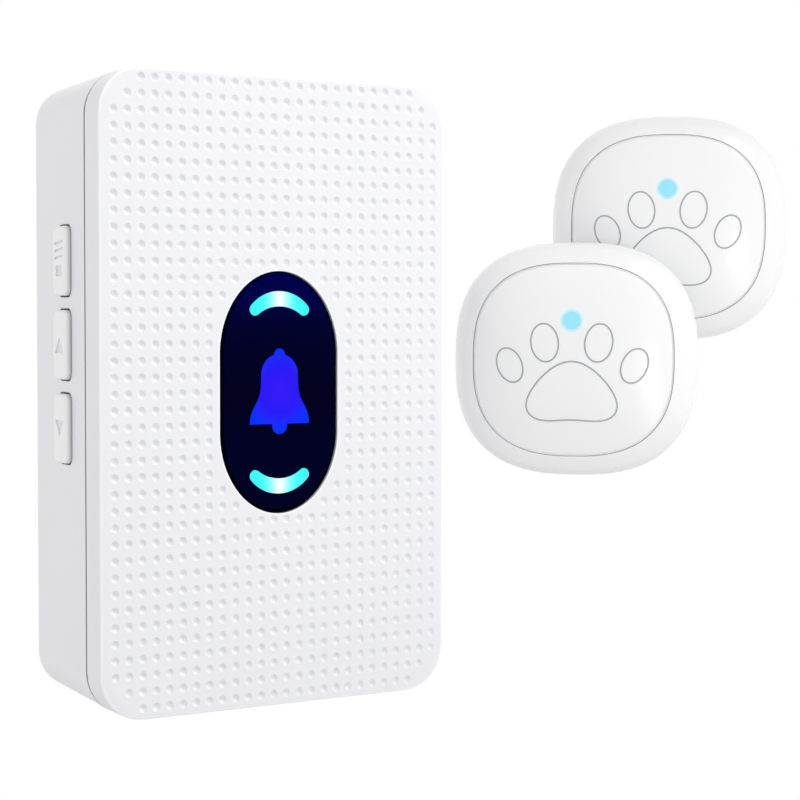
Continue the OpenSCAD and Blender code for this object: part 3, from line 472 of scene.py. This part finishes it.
# shared modelling steps, all in millimetres until a mesh is placed
onWall = Matrix.Rotation(math.pi / 2, 4, "X") @ Matrix.Scale(mm, 4)  # drawn lying on its back, then stood up
modelling = {"cornerSteps": 8, "touch": 1e-4, "penWeld": 0.03, "weld": 0.004}  # the last three are distances


def partsOf(items, kind):
    return [item for item in items if isinstance(item, kind)]


def edgesOf(verts):
    return list({edge for vert in verts for edge in vert.link_edges})


def soften(bm, geom, reach, steps, affect="EDGES"):
    return bmesh.ops.bevel(bm, geom=list(geom), offset=reach, affect=affect, segments=steps,
                           profile=0.5, material=-1)


def roundedPlate(bm, width, height, corner, level):
    corners = bmesh.ops.create_grid(bm, x_segments=1, y_segments=1, size=0.5)["verts"]
    bmesh.ops.scale(bm, vec=(width, height, 1), verts=corners)
    bmesh.ops.translate(bm, vec=(0, 0, level), verts=corners)
    made = soften(bm, corners, corner, modelling["cornerSteps"], "VERTICES")
    return made["verts"][0].link_faces[0]


def openPlate(bm, width, height, corner, level):
    plate = roundedPlate(bm, width, height, corner, level)
    rim = list(plate.edges)
    bmesh.ops.delete(bm, geom=[plate], context="FACES_ONLY")
    return rim


def lift(bm, face, rise):
    made = bmesh.ops.extrude_face_region(bm, geom=[face])
    bmesh.ops.translate(bm, vec=(0, 0, rise), verts=partsOf(made["geom"], bmesh.types.BMVert))
    return partsOf(made["geom"], bmesh.types.BMFace)[0]


def carry(bm, rim, shift=(0, 0, 0), grow=(1, 1, 1)):
    # draws a rim of edges on to its next place
    made = bmesh.ops.extrude_edge_only(bm, edges=rim)
    verts = partsOf(made["geom"], bmesh.types.BMVert)
    bmesh.ops.scale(bm, vec=grow, verts=verts)
    bmesh.ops.translate(bm, vec=shift, verts=verts)
    return partsOf(made["geom"], bmesh.types.BMEdge)


def openRims(bm, level):
    return [edge for edge in bm.edges if len(edge.link_faces) < 2
            and all(abs(vert.co.z - level) < modelling["touch"] for vert in edge.verts)]


def closeLevel(bm, level):
    bmesh.ops.triangle_fill(bm, edges=openRims(bm, level), use_beauty=True, normal=(0, 0, 1))


def penStart(bm, place):
    return bm.verts.new((place[0], place[1], 0))


def penLine(bm, tip, place):
    made = bmesh.ops.extrude_vert_indiv(bm, verts=[tip])["verts"][0]
    bmesh.ops.translate(bm, vec=Vector((place[0], place[1], 0)) - made.co, verts=[made])
    return made


def penArc(bm, tip, centre, degrees, steps):
    made = bmesh.ops.spin(bm, geom=[tip], cent=(centre[0], centre[1], 0), axis=(0, 0, 1),
                          angle=math.radians(degrees), steps=steps)
    return partsOf(made["geom_last"], bmesh.types.BMVert)[0]


def stampLoop(bm, draw, level):
    # draws a closed line with the pen and brings it into a mesh at a level
    page = bmesh.new()
    draw(page)
    bmesh.ops.remove_doubles(page, verts=page.verts, dist=modelling["penWeld"])
    bmesh.ops.translate(page, vec=(0, 0, level), verts=page.verts)
    sheet = bpy.data.meshes.new("page")
    page.to_mesh(sheet)
    page.free()
    known = set(bm.edges)
    bm.from_mesh(sheet)
    bpy.data.meshes.remove(sheet)
    return [edge for edge in bm.edges if edge not in known]


def closeMesh(bm, name, place, crease=32):
    bmesh.ops.remove_doubles(bm, verts=bm.verts, dist=modelling["weld"])
    bmesh.ops.recalc_face_normals(bm, faces=bm.faces)
    bmesh.ops.transform(bm, matrix=place, verts=bm.verts)
    mesh = bpy.data.meshes.new(name)
    bm.to_mesh(mesh)
    bm.free()
    return smoothMesh(mesh, crease)


def smoothMesh(mesh, crease):
    for face in mesh.polygons:
        face.use_smooth = True
    mesh.set_sharp_from_angle(angle=math.radians(crease))
    return mesh


def standFor(mesh, name, node, *finishes):
    piece = putIn(name, mesh)
    for finish in finishes:
        mesh.materials.append(finish)
    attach(piece, frame["nodes"][node]["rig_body"])
    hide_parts(node)


windowForm = {"halfWidth": 10.2, "halfHeight": 18.8, "straight": 6, "steps": 72}


def windowRim(bm, grow, level):
    form = windowForm
    half = Matrix.Rotation(math.pi / form["steps"], 4, "Z")
    verts = bmesh.ops.create_circle(bm, segments=form["steps"], radius=1, matrix=half)["verts"]
    for side in (-1, 1):
        end = [vert for vert in verts if vert.co.y * side > 0]
        bmesh.ops.scale(bm, vec=(form["halfWidth"] + grow, form["halfHeight"] - form["straight"] + grow, 1),
                        verts=end)
        bmesh.ops.translate(bm, vec=(0, side * form["straight"], level), verts=end)
    return edgesOf(verts)


def windowSleeve(bm, rings):
    # rims one behind the other, each given by how far it grows and where it lies
    rims = [windowRim(bm, grow, level) for grow, level in rings]
    return [face for first, second in zip(rims, rims[1:])
            for face in bmesh.ops.bridge_loops(bm, edges=first + second)["faces"]]


def quarter(reach, steps):
    # points of a rounded edge: how far in, how far down
    return [(reach * (1 - math.sin(turn)), reach * (1 - math.cos(turn)))
            for turn in (math.pi / 2 * step / steps for step in range(steps + 1))]


coverForm = {
    "width": 60, "height": 98, "corner": 7, "front": 29, "seam": 23.7, "edge": 0.34, "edgeSteps": 5, "wall": 1.8,
    "columns": 26, "rows": 39, "pitch": (2.215, 2.493), "shift": (0.05, 0.14), "cornerSkip": 2,
    "dimple": 0.7, "dimpleSides": 12, "bowl": [(0.1, 0.08), (0.19, 0.22), (0.21, 0.15)], "bowlTip": 0.03,
    "windowClear": (1.4, 1.0), "windowGap": 0.08, "windowEdge": 0.12, "windowSteps": 4, "windowRing": 0.35,
    "largeFace": 2000, "crease": 24,
}


def dimplePlaces():
    form = coverForm
    clearX, clearY = form["windowClear"]
    reachX = windowForm["halfWidth"] + clearX
    reachY = windowForm["halfHeight"] - windowForm["straight"] + clearY
    for column in range(form["columns"]):
        fromSide = min(column, form["columns"] - 1 - column)
        x = (column - (form["columns"] - 1) / 2) * form["pitch"][0] + form["shift"][0]
        for row in range(form["rows"]):
            fromEnd = min(row, form["rows"] - 1 - row)
            y = (row - (form["rows"] - 1) / 2) * form["pitch"][1] + form["shift"][1]
            overEnd = max(abs(y) - windowForm["straight"], 0)
            inWindow = math.hypot(x / reachX, overEnd / reachY) < 1
            if fromSide + fromEnd >= form["cornerSkip"] and not inWindow:
                yield x, y


def makeFrontCover():
    form = coverForm
    bm = bmesh.new()
    plate = roundedPlate(bm, form["width"], form["height"], form["corner"], form["seam"])
    top = lift(bm, plate, form["front"] - form["seam"])
    # the rounded front edge takes the painted highlight
    for face in soften(bm, top.edges, form["edge"], form["edgeSteps"])["faces"]:
        face.material_index = 1
    ends = [face for face in bm.faces if face.calc_area() > form["largeFace"]]
    bmesh.ops.delete(bm, geom=ends, context="FACES_ONLY")
    bowls = []
    for x, y in dimplePlaces():
        rim = bmesh.ops.create_circle(bm, cap_ends=True, segments=form["dimpleSides"], radius=form["dimple"],
                                      matrix=Matrix.Translation((x, y, form["front"])))
        bowls.append(rim["verts"][0].link_faces[0])
    bm.normal_update()
    bmesh.ops.reverse_faces(bm, faces=[bowl for bowl in bowls if bowl.normal.z < 0])
    for step, drop in form["bowl"]:
        bmesh.ops.inset_individual(bm, faces=bowls, thickness=step, depth=-drop, use_even_offset=True)
    bmesh.ops.poke(bm, faces=bowls, offset=-form["bowlTip"])
    ceiling = form["front"] - form["wall"]
    edge = [(form["windowGap"] + inward, form["front"] - down)
            for inward, down in quarter(form["windowEdge"], form["windowSteps"])]
    # the flat ring round the window and the window's mouth take the painted highlight
    for face in windowSleeve(bm, [(form["windowRing"], form["front"])] + edge + [(form["windowGap"], ceiling)]):
        face.material_index = 1
    closeLevel(bm, form["front"])
    narrow = 2 * form["wall"]
    inner = (form["width"] - narrow, form["height"] - narrow, form["corner"] - form["wall"])
    outerRim = openRims(bm, form["seam"])
    innerRim = openPlate(bm, *inner, form["seam"])
    bmesh.ops.bridge_loops(bm, edges=outerRim + innerRim)
    upperRim = openPlate(bm, *inner, ceiling)
    bmesh.ops.bridge_loops(bm, edges=innerRim + upperRim)
    closeLevel(bm, ceiling)
    mesh = closeMesh(bm, "frontCover", onWall, form["crease"])
    standFor(mesh, "frontCover", "front_cover", slotFinishes["case_white"], rimPaintedHighlight)
    print("front cover:", len(bowls), "dimples")


seamShadowForm = {"sunk": 0.12, "thick": 0.5, "levels": (23.2, 23.7)}


def makeSeamShadowStrip():
    # a painted shadow: the dark strip at the bottom of the groove between cover and case, where the groove lies in
    # shade
    form = coverForm
    bm = bmesh.new()
    rims = []
    for inset in (seamShadowForm["sunk"], seamShadowForm["sunk"] + seamShadowForm["thick"]):
        size = (form["width"] - 2 * inset, form["height"] - 2 * inset, form["corner"] - inset)
        rims.append([openPlate(bm, *size, level) for level in seamShadowForm["levels"]])
    outer, inner = rims
    loop = [*outer, *reversed(inner)]
    for first, second in zip(loop, loop[1:] + loop[:1]):
        bmesh.ops.bridge_loops(bm, edges=first + second)
    mesh = closeMesh(bm, "seamShadowStrip", onWall)
    mesh.materials.append(seamPaintedShadow)
    piece = putIn("seamShadowStrip", mesh)
    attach(piece, frame["nodes"]["rear_case"]["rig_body"])


bellForm = {
    "dome": 3.2, "domeAt": 2.8, "skirt": 7.66, "hem": 5.2, "flareAt": 0.61, "flare": 9, "flareSteps": 22,
    "nub": 0.95, "nubAt": 5.9, "clapper": 1.3, "clapperAt": -5.16, "domeSteps": 14, "ballSteps": 10,
}
arcForm = {
    "radius": 6.2, "thick": 2.3, "endThick": 1.85, "half": 43.4, "crest": 14.6, "steps": 18, "endSteps": 9,
}
lightForm = {"front": 29, "back": 26.2, "edge": 0.06, "edgeSteps": 2, "crease": 40}


def drawBell(bm, grow=0):
    form = bellForm
    dome = form["dome"] + grow
    nub = form["nub"] + grow
    clapper = form["clapper"] + grow
    apart = form["nubAt"] - form["domeAt"]
    meet = (apart ** 2 + dome ** 2 - nub ** 2) / (2 * apart)
    domeTurn = math.degrees(math.asin(meet / dome))
    nubTurn = math.degrees(math.asin((meet - apart) / nub))
    tip = penStart(bm, (0, form["nubAt"] + nub))
    tip = penArc(bm, tip, (0, form["nubAt"]), nubTurn - 90, form["ballSteps"])
    tip = penArc(bm, tip, (0, form["domeAt"]), -domeTurn, form["domeSteps"])
    for step in range(1, form["flareSteps"] + 1):
        share = step / form["flareSteps"]
        wider = (1 + math.exp(form["flare"] * (form["flareAt"] - 1))) / (
            1 + math.exp(form["flare"] * (form["flareAt"] - share)))
        tip = penLine(bm, tip, (dome + (form["hem"] - form["dome"]) * wider,
                                form["domeAt"] - (form["skirt"] + grow) * share))
    hem = tip.co.y - form["clapperAt"]
    tip = penLine(bm, tip, (math.sqrt(clapper ** 2 - hem ** 2), tip.co.y))
    clapperTurn = math.degrees(math.asin(hem / clapper))
    penArc(bm, tip, (0, form["clapperAt"]), -90 - clapperTurn, form["ballSteps"])
    bmesh.ops.mirror(bm, geom=bm.verts[:] + bm.edges[:], axis="X", merge_dist=modelling["touch"])


def arcThrough(top, end):
    # the circle round the middle line that meets a top and an end: its centre's height and half its turn
    rise = (end[0] ** 2 + end[1] ** 2 - top ** 2) / (2 * (end[1] - top))
    return rise, math.degrees(math.asin(end[0] / (top - rise)))


def drawArc(bm, side, grow=0):
    form = arcForm
    half = form["thick"] / 2
    endHalf = form["endThick"] / 2
    lean = math.radians(form["half"])
    middle = form["crest"] - form["radius"]
    ends = [(reach * math.sin(lean), middle + reach * math.cos(lean)) for reach in (
        form["radius"] + endHalf, form["radius"], form["radius"] - endHalf)]
    outer, outerHalf = arcThrough(form["crest"] + half, ends[0])
    inner, innerHalf = arcThrough(form["crest"] - half, ends[2])
    reach = form["crest"] + half + grow - outer
    turn = math.radians(outerHalf)
    tip = penStart(bm, (-reach * math.sin(turn), outer + reach * math.cos(turn)))
    tip = penArc(bm, tip, (0, outer), -2 * outerHalf, form["steps"])
    tip = penArc(bm, tip, ends[1], -180, form["endSteps"])
    tip = penArc(bm, tip, (0, inner), 2 * innerHalf, form["steps"])
    penArc(bm, tip, (-ends[1][0], ends[1][1]), -180, form["endSteps"])
    bmesh.ops.scale(bm, vec=(1, side, 1), verts=bm.verts)


def makeLights():
    form = lightForm
    drawn = {
        "bellLight": ("bell_light_guide", [drawBell]),
        "arcLights": ("arc_light_guides", [lambda bm: drawArc(bm, 1), lambda bm: drawArc(bm, -1)]),
    }
    for name, (node, lines) in drawn.items():
        bm = bmesh.new()
        for line in lines:
            rim = stampLoop(bm, line, form["back"])
            bottom = bmesh.ops.contextual_create(bm, geom=rim)["faces"][0]
            top = lift(bm, bottom, form["front"] - form["back"])
            soften(bm, top.edges, form["edge"], form["edgeSteps"])
        standFor(closeMesh(bm, name, onWall, form["crease"]), name, node, slotFinishes[slotOf[node]])


lensForm = {
    "front": 29, "edge": 0.6, "edgeSteps": 6, "flangeAt": 27.15, "back": 26.2, "flange": 1.4, "cut": 0.05,
    "crease": 40,
}


def makeWindowLens():
    form = lensForm
    bm = bmesh.new()
    edge = [(-inward, form["front"] - down) for inward, down in quarter(form["edge"], form["edgeSteps"])]
    # the lens's rounded edge takes the painted highlight finish
    for face in windowSleeve(bm, edge):
        face.material_index = 1
    windowSleeve(bm, [edge[-1], (0, form["flangeAt"]), (form["flange"], form["flangeAt"]),
                      (form["flange"], form["back"])])
    for line in (lambda page: drawBell(page, form["cut"]), lambda page: drawArc(page, 1, form["cut"]),
                 lambda page: drawArc(page, -1, form["cut"])):
        rim = stampLoop(bm, line, form["front"])
        carry(bm, rim, (0, 0, form["back"] - form["front"]))
    closeLevel(bm, form["front"])
    closeLevel(bm, form["back"])
    mesh = closeMesh(bm, "windowLens", onWall, form["crease"])
    standFor(mesh, "windowLens", "window_lens", slotFinishes["window_navy"], lensEdgePaintedHighlight)


keyForm = {
    "face": 30.72, "depth": 14.6, "wide": 5.6, "long": 10.7, "corner": 1.3, "edge": 0.55, "edgeSteps": 5,
    "deep": 3.2, "sink": 0.25, "flange": (7.4, 11.7, 0.8), "largeFace": 20, "crease": 32,
    "keys": {
        "volumeKey": {"node": "volume_button", "at": 20.3, "signs": "bars"},
        "tuneUpKey": {"node": "tune_up_button", "at": 7.4, "signs": "up"},
        "tuneDownKey": {"node": "tune_down_button", "at": -5.5, "signs": "down"},
    },
    "bars": {"wide": 3.4, "thick": 0.42, "slant": 0.11, "at": (0.58, 1.68, 2.78)},
    "square": {"wide": 2.4, "tall": 1.6, "at": -1.55}, "triangle": {"wide": 3.4, "tall": 2.5},
}


def signBar(bm, place, wide, tall):
    bmesh.ops.create_grid(bm, x_segments=1, y_segments=1, size=0.5,
                          matrix=place @ Matrix.Diagonal((wide, tall, 1, 1)))


def keySigns(bm, signs):
    form = keyForm
    if signs == "bars":
        bars = form["bars"]
        square = form["square"]
        slant = Matrix(((1, 0, 0, 0), (bars["slant"], 1, 0, 0), (0, 0, 1, 0), (0, 0, 0, 1)))
        for rise in bars["at"]:
            signBar(bm, Matrix.Translation((0, rise, 0)) @ slant, bars["wide"], bars["thick"])
        signBar(bm, Matrix.Translation((0, square["at"], 0)), square["wide"], square["tall"])
    else:
        triangle = form["triangle"]
        points = bmesh.ops.create_circle(bm, cap_ends=True, segments=3, radius=1)["verts"]
        low, high = min(v.co.y for v in points), max(v.co.y for v in points)
        wide = max(v.co.x for v in points) - min(v.co.x for v in points)
        bmesh.ops.translate(bm, vec=(0, -(low + high) / 2, 0), verts=points)
        turn = 1 if (signs == "up") == (high > -low) else -1
        bmesh.ops.scale(bm, vec=(triangle["wide"] / wide, turn * triangle["tall"] / (high - low), 1), verts=points)


def makeKeys():
    form = keyForm
    for name, key in form["keys"].items():
        bm = bmesh.new()
        keySigns(bm, key["signs"])
        rims = list(bm.edges)
        bmesh.ops.delete(bm, geom=bm.faces[:], context="FACES_ONLY")
        floor = carry(bm, rims, (0, 0, -form["sink"]))
        bmesh.ops.triangle_fill(bm, edges=floor, use_beauty=True, normal=(0, 0, 1))
        # the sunk signs take the grey of painted shade
        for face in bm.faces:
            face.material_index = 1
        plate = roundedPlate(bm, form["wide"], form["long"], form["corner"], -form["deep"])
        top = lift(bm, plate, form["deep"])
        soften(bm, top.edges, form["edge"], form["edgeSteps"])
        lids = [face for face in bm.faces if face.calc_area() > form["largeFace"]
                and all(abs(vert.co.z) < modelling["touch"] for vert in face.verts)]
        bmesh.ops.delete(bm, geom=lids, context="FACES_ONLY")
        closeLevel(bm, 0)
        wide, long, thick = form["flange"]
        flange = roundedPlate(bm, wide, long, form["corner"], -form["deep"] - thick)
        lift(bm, flange, thick)
        place = onWall @ Matrix.Translation((-form["face"], key["at"], form["depth"])) @ Matrix.Rotation(
            -math.pi / 2, 4, "Y")
        mesh = closeMesh(bm, name, place, form["crease"])
        standFor(mesh, name, key["node"], slotFinishes["key_white"], signPaintedShade)


buttonForm = {
    "halfWidth": 20.7, "halfHeight": 19.9, "square": 2.6, "steps": 128, "rim": 5, "top": 15.5, "dome": 2.5,
}


def domeHeight(share):
    # the dome's height at a share of the way out to its rim
    form = buttonForm
    return form["rim"] + (form["top"] - form["rim"]) * max(1 - share ** form["dome"], 0) ** (1 / form["dome"])


def shareAt(x, y):
    # how much of the way out to the rim a point lies
    form = buttonForm
    return (abs(x / form["halfWidth"]) ** form["square"] + abs(y / form["halfHeight"]) ** form["square"]) ** (
        1 / form["square"])


def sweptRound(bm, section):
    # carries a section of share and height round the button's outline
    form = buttonForm
    verts = bmesh.ops.create_circle(bm, segments=form["steps"], radius=1)["verts"]
    for vert in verts:
        x, y = vert.co.x, vert.co.y
        vert.co.x = math.copysign(abs(x) ** (2 / form["square"]), x) * form["halfWidth"]
        vert.co.y = math.copysign(abs(y) ** (2 / form["square"]), y) * form["halfHeight"]
    share, level = section[0]
    bmesh.ops.scale(bm, vec=(share, share, 1), verts=verts)
    bmesh.ops.translate(bm, vec=(0, 0, level), verts=verts)
    rim = edgesOf(verts)
    for nextShare, nextLevel in section[1:]:
        rim = carry(bm, rim, (0, 0, nextLevel - level), (nextShare / share, nextShare / share, 1))
        share, level = nextShare, nextLevel
    return rim


def buttonPlace(number):
    joint = next(joint for joint in frame["joints"] if joint["name"] == f"transmitter_{number}_door_turn")
    out = Vector(joint["axis"]).normalized()
    up = Vector((0, 0, 1))
    turn = Matrix((up.cross(out), up, out)).transposed().to_4x4()
    return Matrix.Translation(joint["pos_m"]) @ turn @ Matrix.Scale(mm, 4)


padForm = {
    "share": 0.8, "edge": 0.12, "turnIn": 0.3, "turnDown": 0.02, "innerDown": 0.005,
    "step": 0.28, "stepDepth": 0.6, "skirt": 2.1, "wall": 1.8, "stem": 2, "stemLow": 11.9, "crease": 30,
    "shares": [0.03, 0.08, 0.14, 0.2, 0.26, 0.32, 0.38, 0.44, 0.5, 0.55, 0.6, 0.65, 0.7, 0.735, 0.765, 0.785],
    "hollowShares": [0.2, 0.32, 0.44, 0.55, 0.65],
}
bezelForm = {
    "gap": 0.36, "lip": 1.9, "wallShare": 0.9275, "lipShare": 0.8955, "crease": 40,
    "shares": [1, 0.9985, 0.995, 0.989, 0.98, 0.968, 0.954, 0.938, 0.92, 0.9, 0.88, 0.86, 0.84],
    "mouthEdge": 0.006, "mouthTurn": [(0.002, 0.02), (0, 0.12)],
}


def makeBezel(number):
    form = bezelForm
    rim = buttonForm["rim"]
    mouth = padForm["share"] + form["gap"] / buttonForm["halfWidth"]
    crest = domeHeight(mouth)
    low = crest - form["lip"]
    section = [(share, domeHeight(share)) for share in [*form["shares"], mouth + form["mouthEdge"]]]
    section += [(mouth + out, crest - down) for out, down in form["mouthTurn"]]
    section += [(mouth, low), (form["lipShare"], low), (form["wallShare"], rim), (1, rim)]
    bm = bmesh.new()
    sweptRound(bm, section)
    name = f"buttonBezel{number}"
    mesh = closeMesh(bm, name, buttonPlace(number), form["crease"])
    standFor(mesh, name, f"transmitter_{number}_bezel", buttonWhite)


pawForm = {
    "line": 0.15, "lineSteps": 2, "lift": 0.02, "steps": 56,
    "palm": {"at": (0, -5.6), "half": (7.4, 5.4), "narrow": 0.24, "droop": 0.9, "dent": 1.0, "dentWide": 0.5},
    "toes": [((-4.5, 2.9), (2.3, 3.2), 8), ((4.5, 2.9), (2.3, 3.2), -8),
             ((-10.4, -0.9), (2.1, 3.0), 24), ((10.4, -0.9), (2.1, 3.0), -24)],
}


def pawLines():
    form = pawForm
    palm = form["palm"]
    turns = [2 * math.pi * step / form["steps"] for step in range(form["steps"])]
    yield [(palm["at"][0] + palm["half"][0] * math.sin(turn) * (1 - palm["narrow"] * math.cos(turn)),
            palm["at"][1] + palm["half"][1] * math.cos(turn) - palm["droop"] * math.sin(turn) ** 2
            + palm["dent"] * math.exp(-((turn - math.pi) / palm["dentWide"]) ** 2)) for turn in turns]
    for (x, y), (wide, tall), lean in form["toes"]:
        tilt = Matrix.Rotation(math.radians(lean), 2)
        yield [Vector((x, y)) + tilt @ Vector((wide * math.sin(turn), tall * math.cos(turn))) for turn in turns]


ledForm = {
    "radius": 1.85, "at": 6.6, "proud": 0.05, "long": 5.5, "bore": 6, "sides": 48, "edgeFrom": 0.85, "crease": 40,
    "crown": [(0.03, 0.97), (0.01, 0.82), (0.02, 0.5), (0.01, 0.2)],
}


def ledPlace():
    # square to the dome, from its heights 1 mm below and above the indicator
    form = ledForm
    below, level, above = [domeHeight(shareAt(0, form["at"] + step)) for step in (-1, 0, 1)]
    turn = Matrix.Rotation(math.atan2(above - below, 2), 4, "X")
    return Matrix.Translation((0, form["at"], level + form["proud"])) @ turn


def padCutter():
    # the lines of the paw, which carry grey painted shade into the grooves, and the bore that the indicator stands
    # in
    curve = bpy.data.curves.new("pawLines", "CURVE")
    curve.dimensions = "3D"
    curve.bevel_depth = pawForm["line"]
    curve.bevel_resolution = pawForm["lineSteps"]
    for line in pawLines():
        spline = curve.splines.new("POLY")
        spline.points.add(len(line) - 1)
        spline.use_cyclic_u = True
        for point, (x, y) in zip(spline.points, line):
            point.co = (x, y, domeHeight(shareAt(x, y)) + pawForm["lift"], 1)
    holder = bpy.data.objects.new("pawLines", curve)
    mesh = bpy.data.meshes.new_from_object(holder)
    bpy.data.objects.remove(holder)
    bpy.data.curves.remove(curve)
    mesh.materials.clear()
    for finish in (groovePaintedShade, buttonWhite):
        mesh.materials.append(finish)
    bm = bmesh.new()
    bm.from_mesh(mesh)
    bore = bmesh.ops.create_cone(bm, cap_ends=True, segments=ledForm["sides"], radius1=ledForm["radius"],
                                 radius2=ledForm["radius"], depth=ledForm["bore"], matrix=ledPlace())
    for vert in bore["verts"]:
        for face in vert.link_faces:
            face.material_index = 1
    bm.to_mesh(mesh)
    bm.free()
    return mesh


def engrave(mesh, cutterMesh):
    # cuts the pad, and the cut keeps its own finishes
    pad = putIn("engraved", mesh)
    cutter = putIn("cutter", cutterMesh)
    cut = pad.modifiers.new("lines", "BOOLEAN")
    cut.operation = "DIFFERENCE"
    cut.solver = "EXACT"
    cut.material_mode = "TRANSFER"
    cut.object = cutter
    depsgraph = bpy.context.evaluated_depsgraph_get()
    done = bpy.data.meshes.new_from_object(pad.evaluated_get(depsgraph))
    for item in (pad, cutter):
        bpy.data.objects.remove(item)
    return done


def makePad(number):
    form = padForm
    wide = buttonForm["halfWidth"]
    edge = form["share"]
    inner = edge - form["edge"] / wide
    brim = edge + form["step"] / wide
    stem = form["stem"] / wide
    hollow = edge - form["wall"] / wide
    crest = domeHeight(edge)
    shelf = crest - form["stepDepth"]
    low = crest - form["skirt"]
    section = [(stem, form["stemLow"])]
    section += [(share, domeHeight(share) - form["wall"]) for share in [stem, *form["hollowShares"], hollow]]
    section += [(hollow, low), (brim, low), (brim, shelf), (edge, shelf), (edge, crest - form["edge"]),
                (edge - form["turnIn"] * form["edge"] / wide, crest - form["turnDown"]),
                (inner, domeHeight(inner) - form["innerDown"])]
    section += [(share, domeHeight(share)) for share in reversed(form["shares"])]
    bm = bmesh.new()
    rim = sweptRound(bm, section)
    bmesh.ops.contextual_create(bm, geom=rim)
    closeLevel(bm, form["stemLow"])
    mesh = closeMesh(bm, "pad", Matrix.Identity(4))
    mesh.materials.append(buttonWhite)
    done = engrave(mesh, padCutter())
    done.name = f"buttonPad{number}"
    done.transform(buttonPlace(number))
    standFor(smoothMesh(done, form["crease"]), done.name, f"transmitter_{number}_press_pad")


def makeLed(number):
    form = ledForm
    name = f"buttonLed{number}"
    bm = bmesh.new()
    verts = bmesh.ops.create_circle(bm, segments=form["sides"], radius=form["radius"])["verts"]
    bmesh.ops.translate(bm, vec=(0, 0, -form["long"]), verts=verts)
    rim = edgesOf(verts)
    bmesh.ops.contextual_create(bm, geom=rim)
    rim = carry(bm, rim, (0, 0, form["long"] - form["proud"]))
    last = 1
    for rise, share in form["crown"]:
        rim = carry(bm, rim, (0, 0, rise), (share / last, share / last, 1))
        last = share
    bmesh.ops.contextual_create(bm, geom=rim)
    for face in bm.faces:
        outside = face.calc_center_median().xy.length > form["edgeFrom"] * form["radius"]
        face.material_index = 1 if outside else 0
    mesh = closeMesh(bm, name, buttonPlace(number) @ ledPlace(), form["crease"])
    standFor(mesh, name, f"transmitter_{number}_led_lens", slotFinishes["led_light"], ledEdge)


dressNodes()
print("solids dressed")
makeFrontCover()
makeSeamShadowStrip()
makeWindowLens()
makeLights()
makeKeys()
print("receiver pieces made")
for number in (1, 2):
    makeBezel(number)
    makePad(number)
    makeLed(number)
print("button pieces made")

scene = bpy.context.scene
scene.view_settings.view_transform = "Standard"
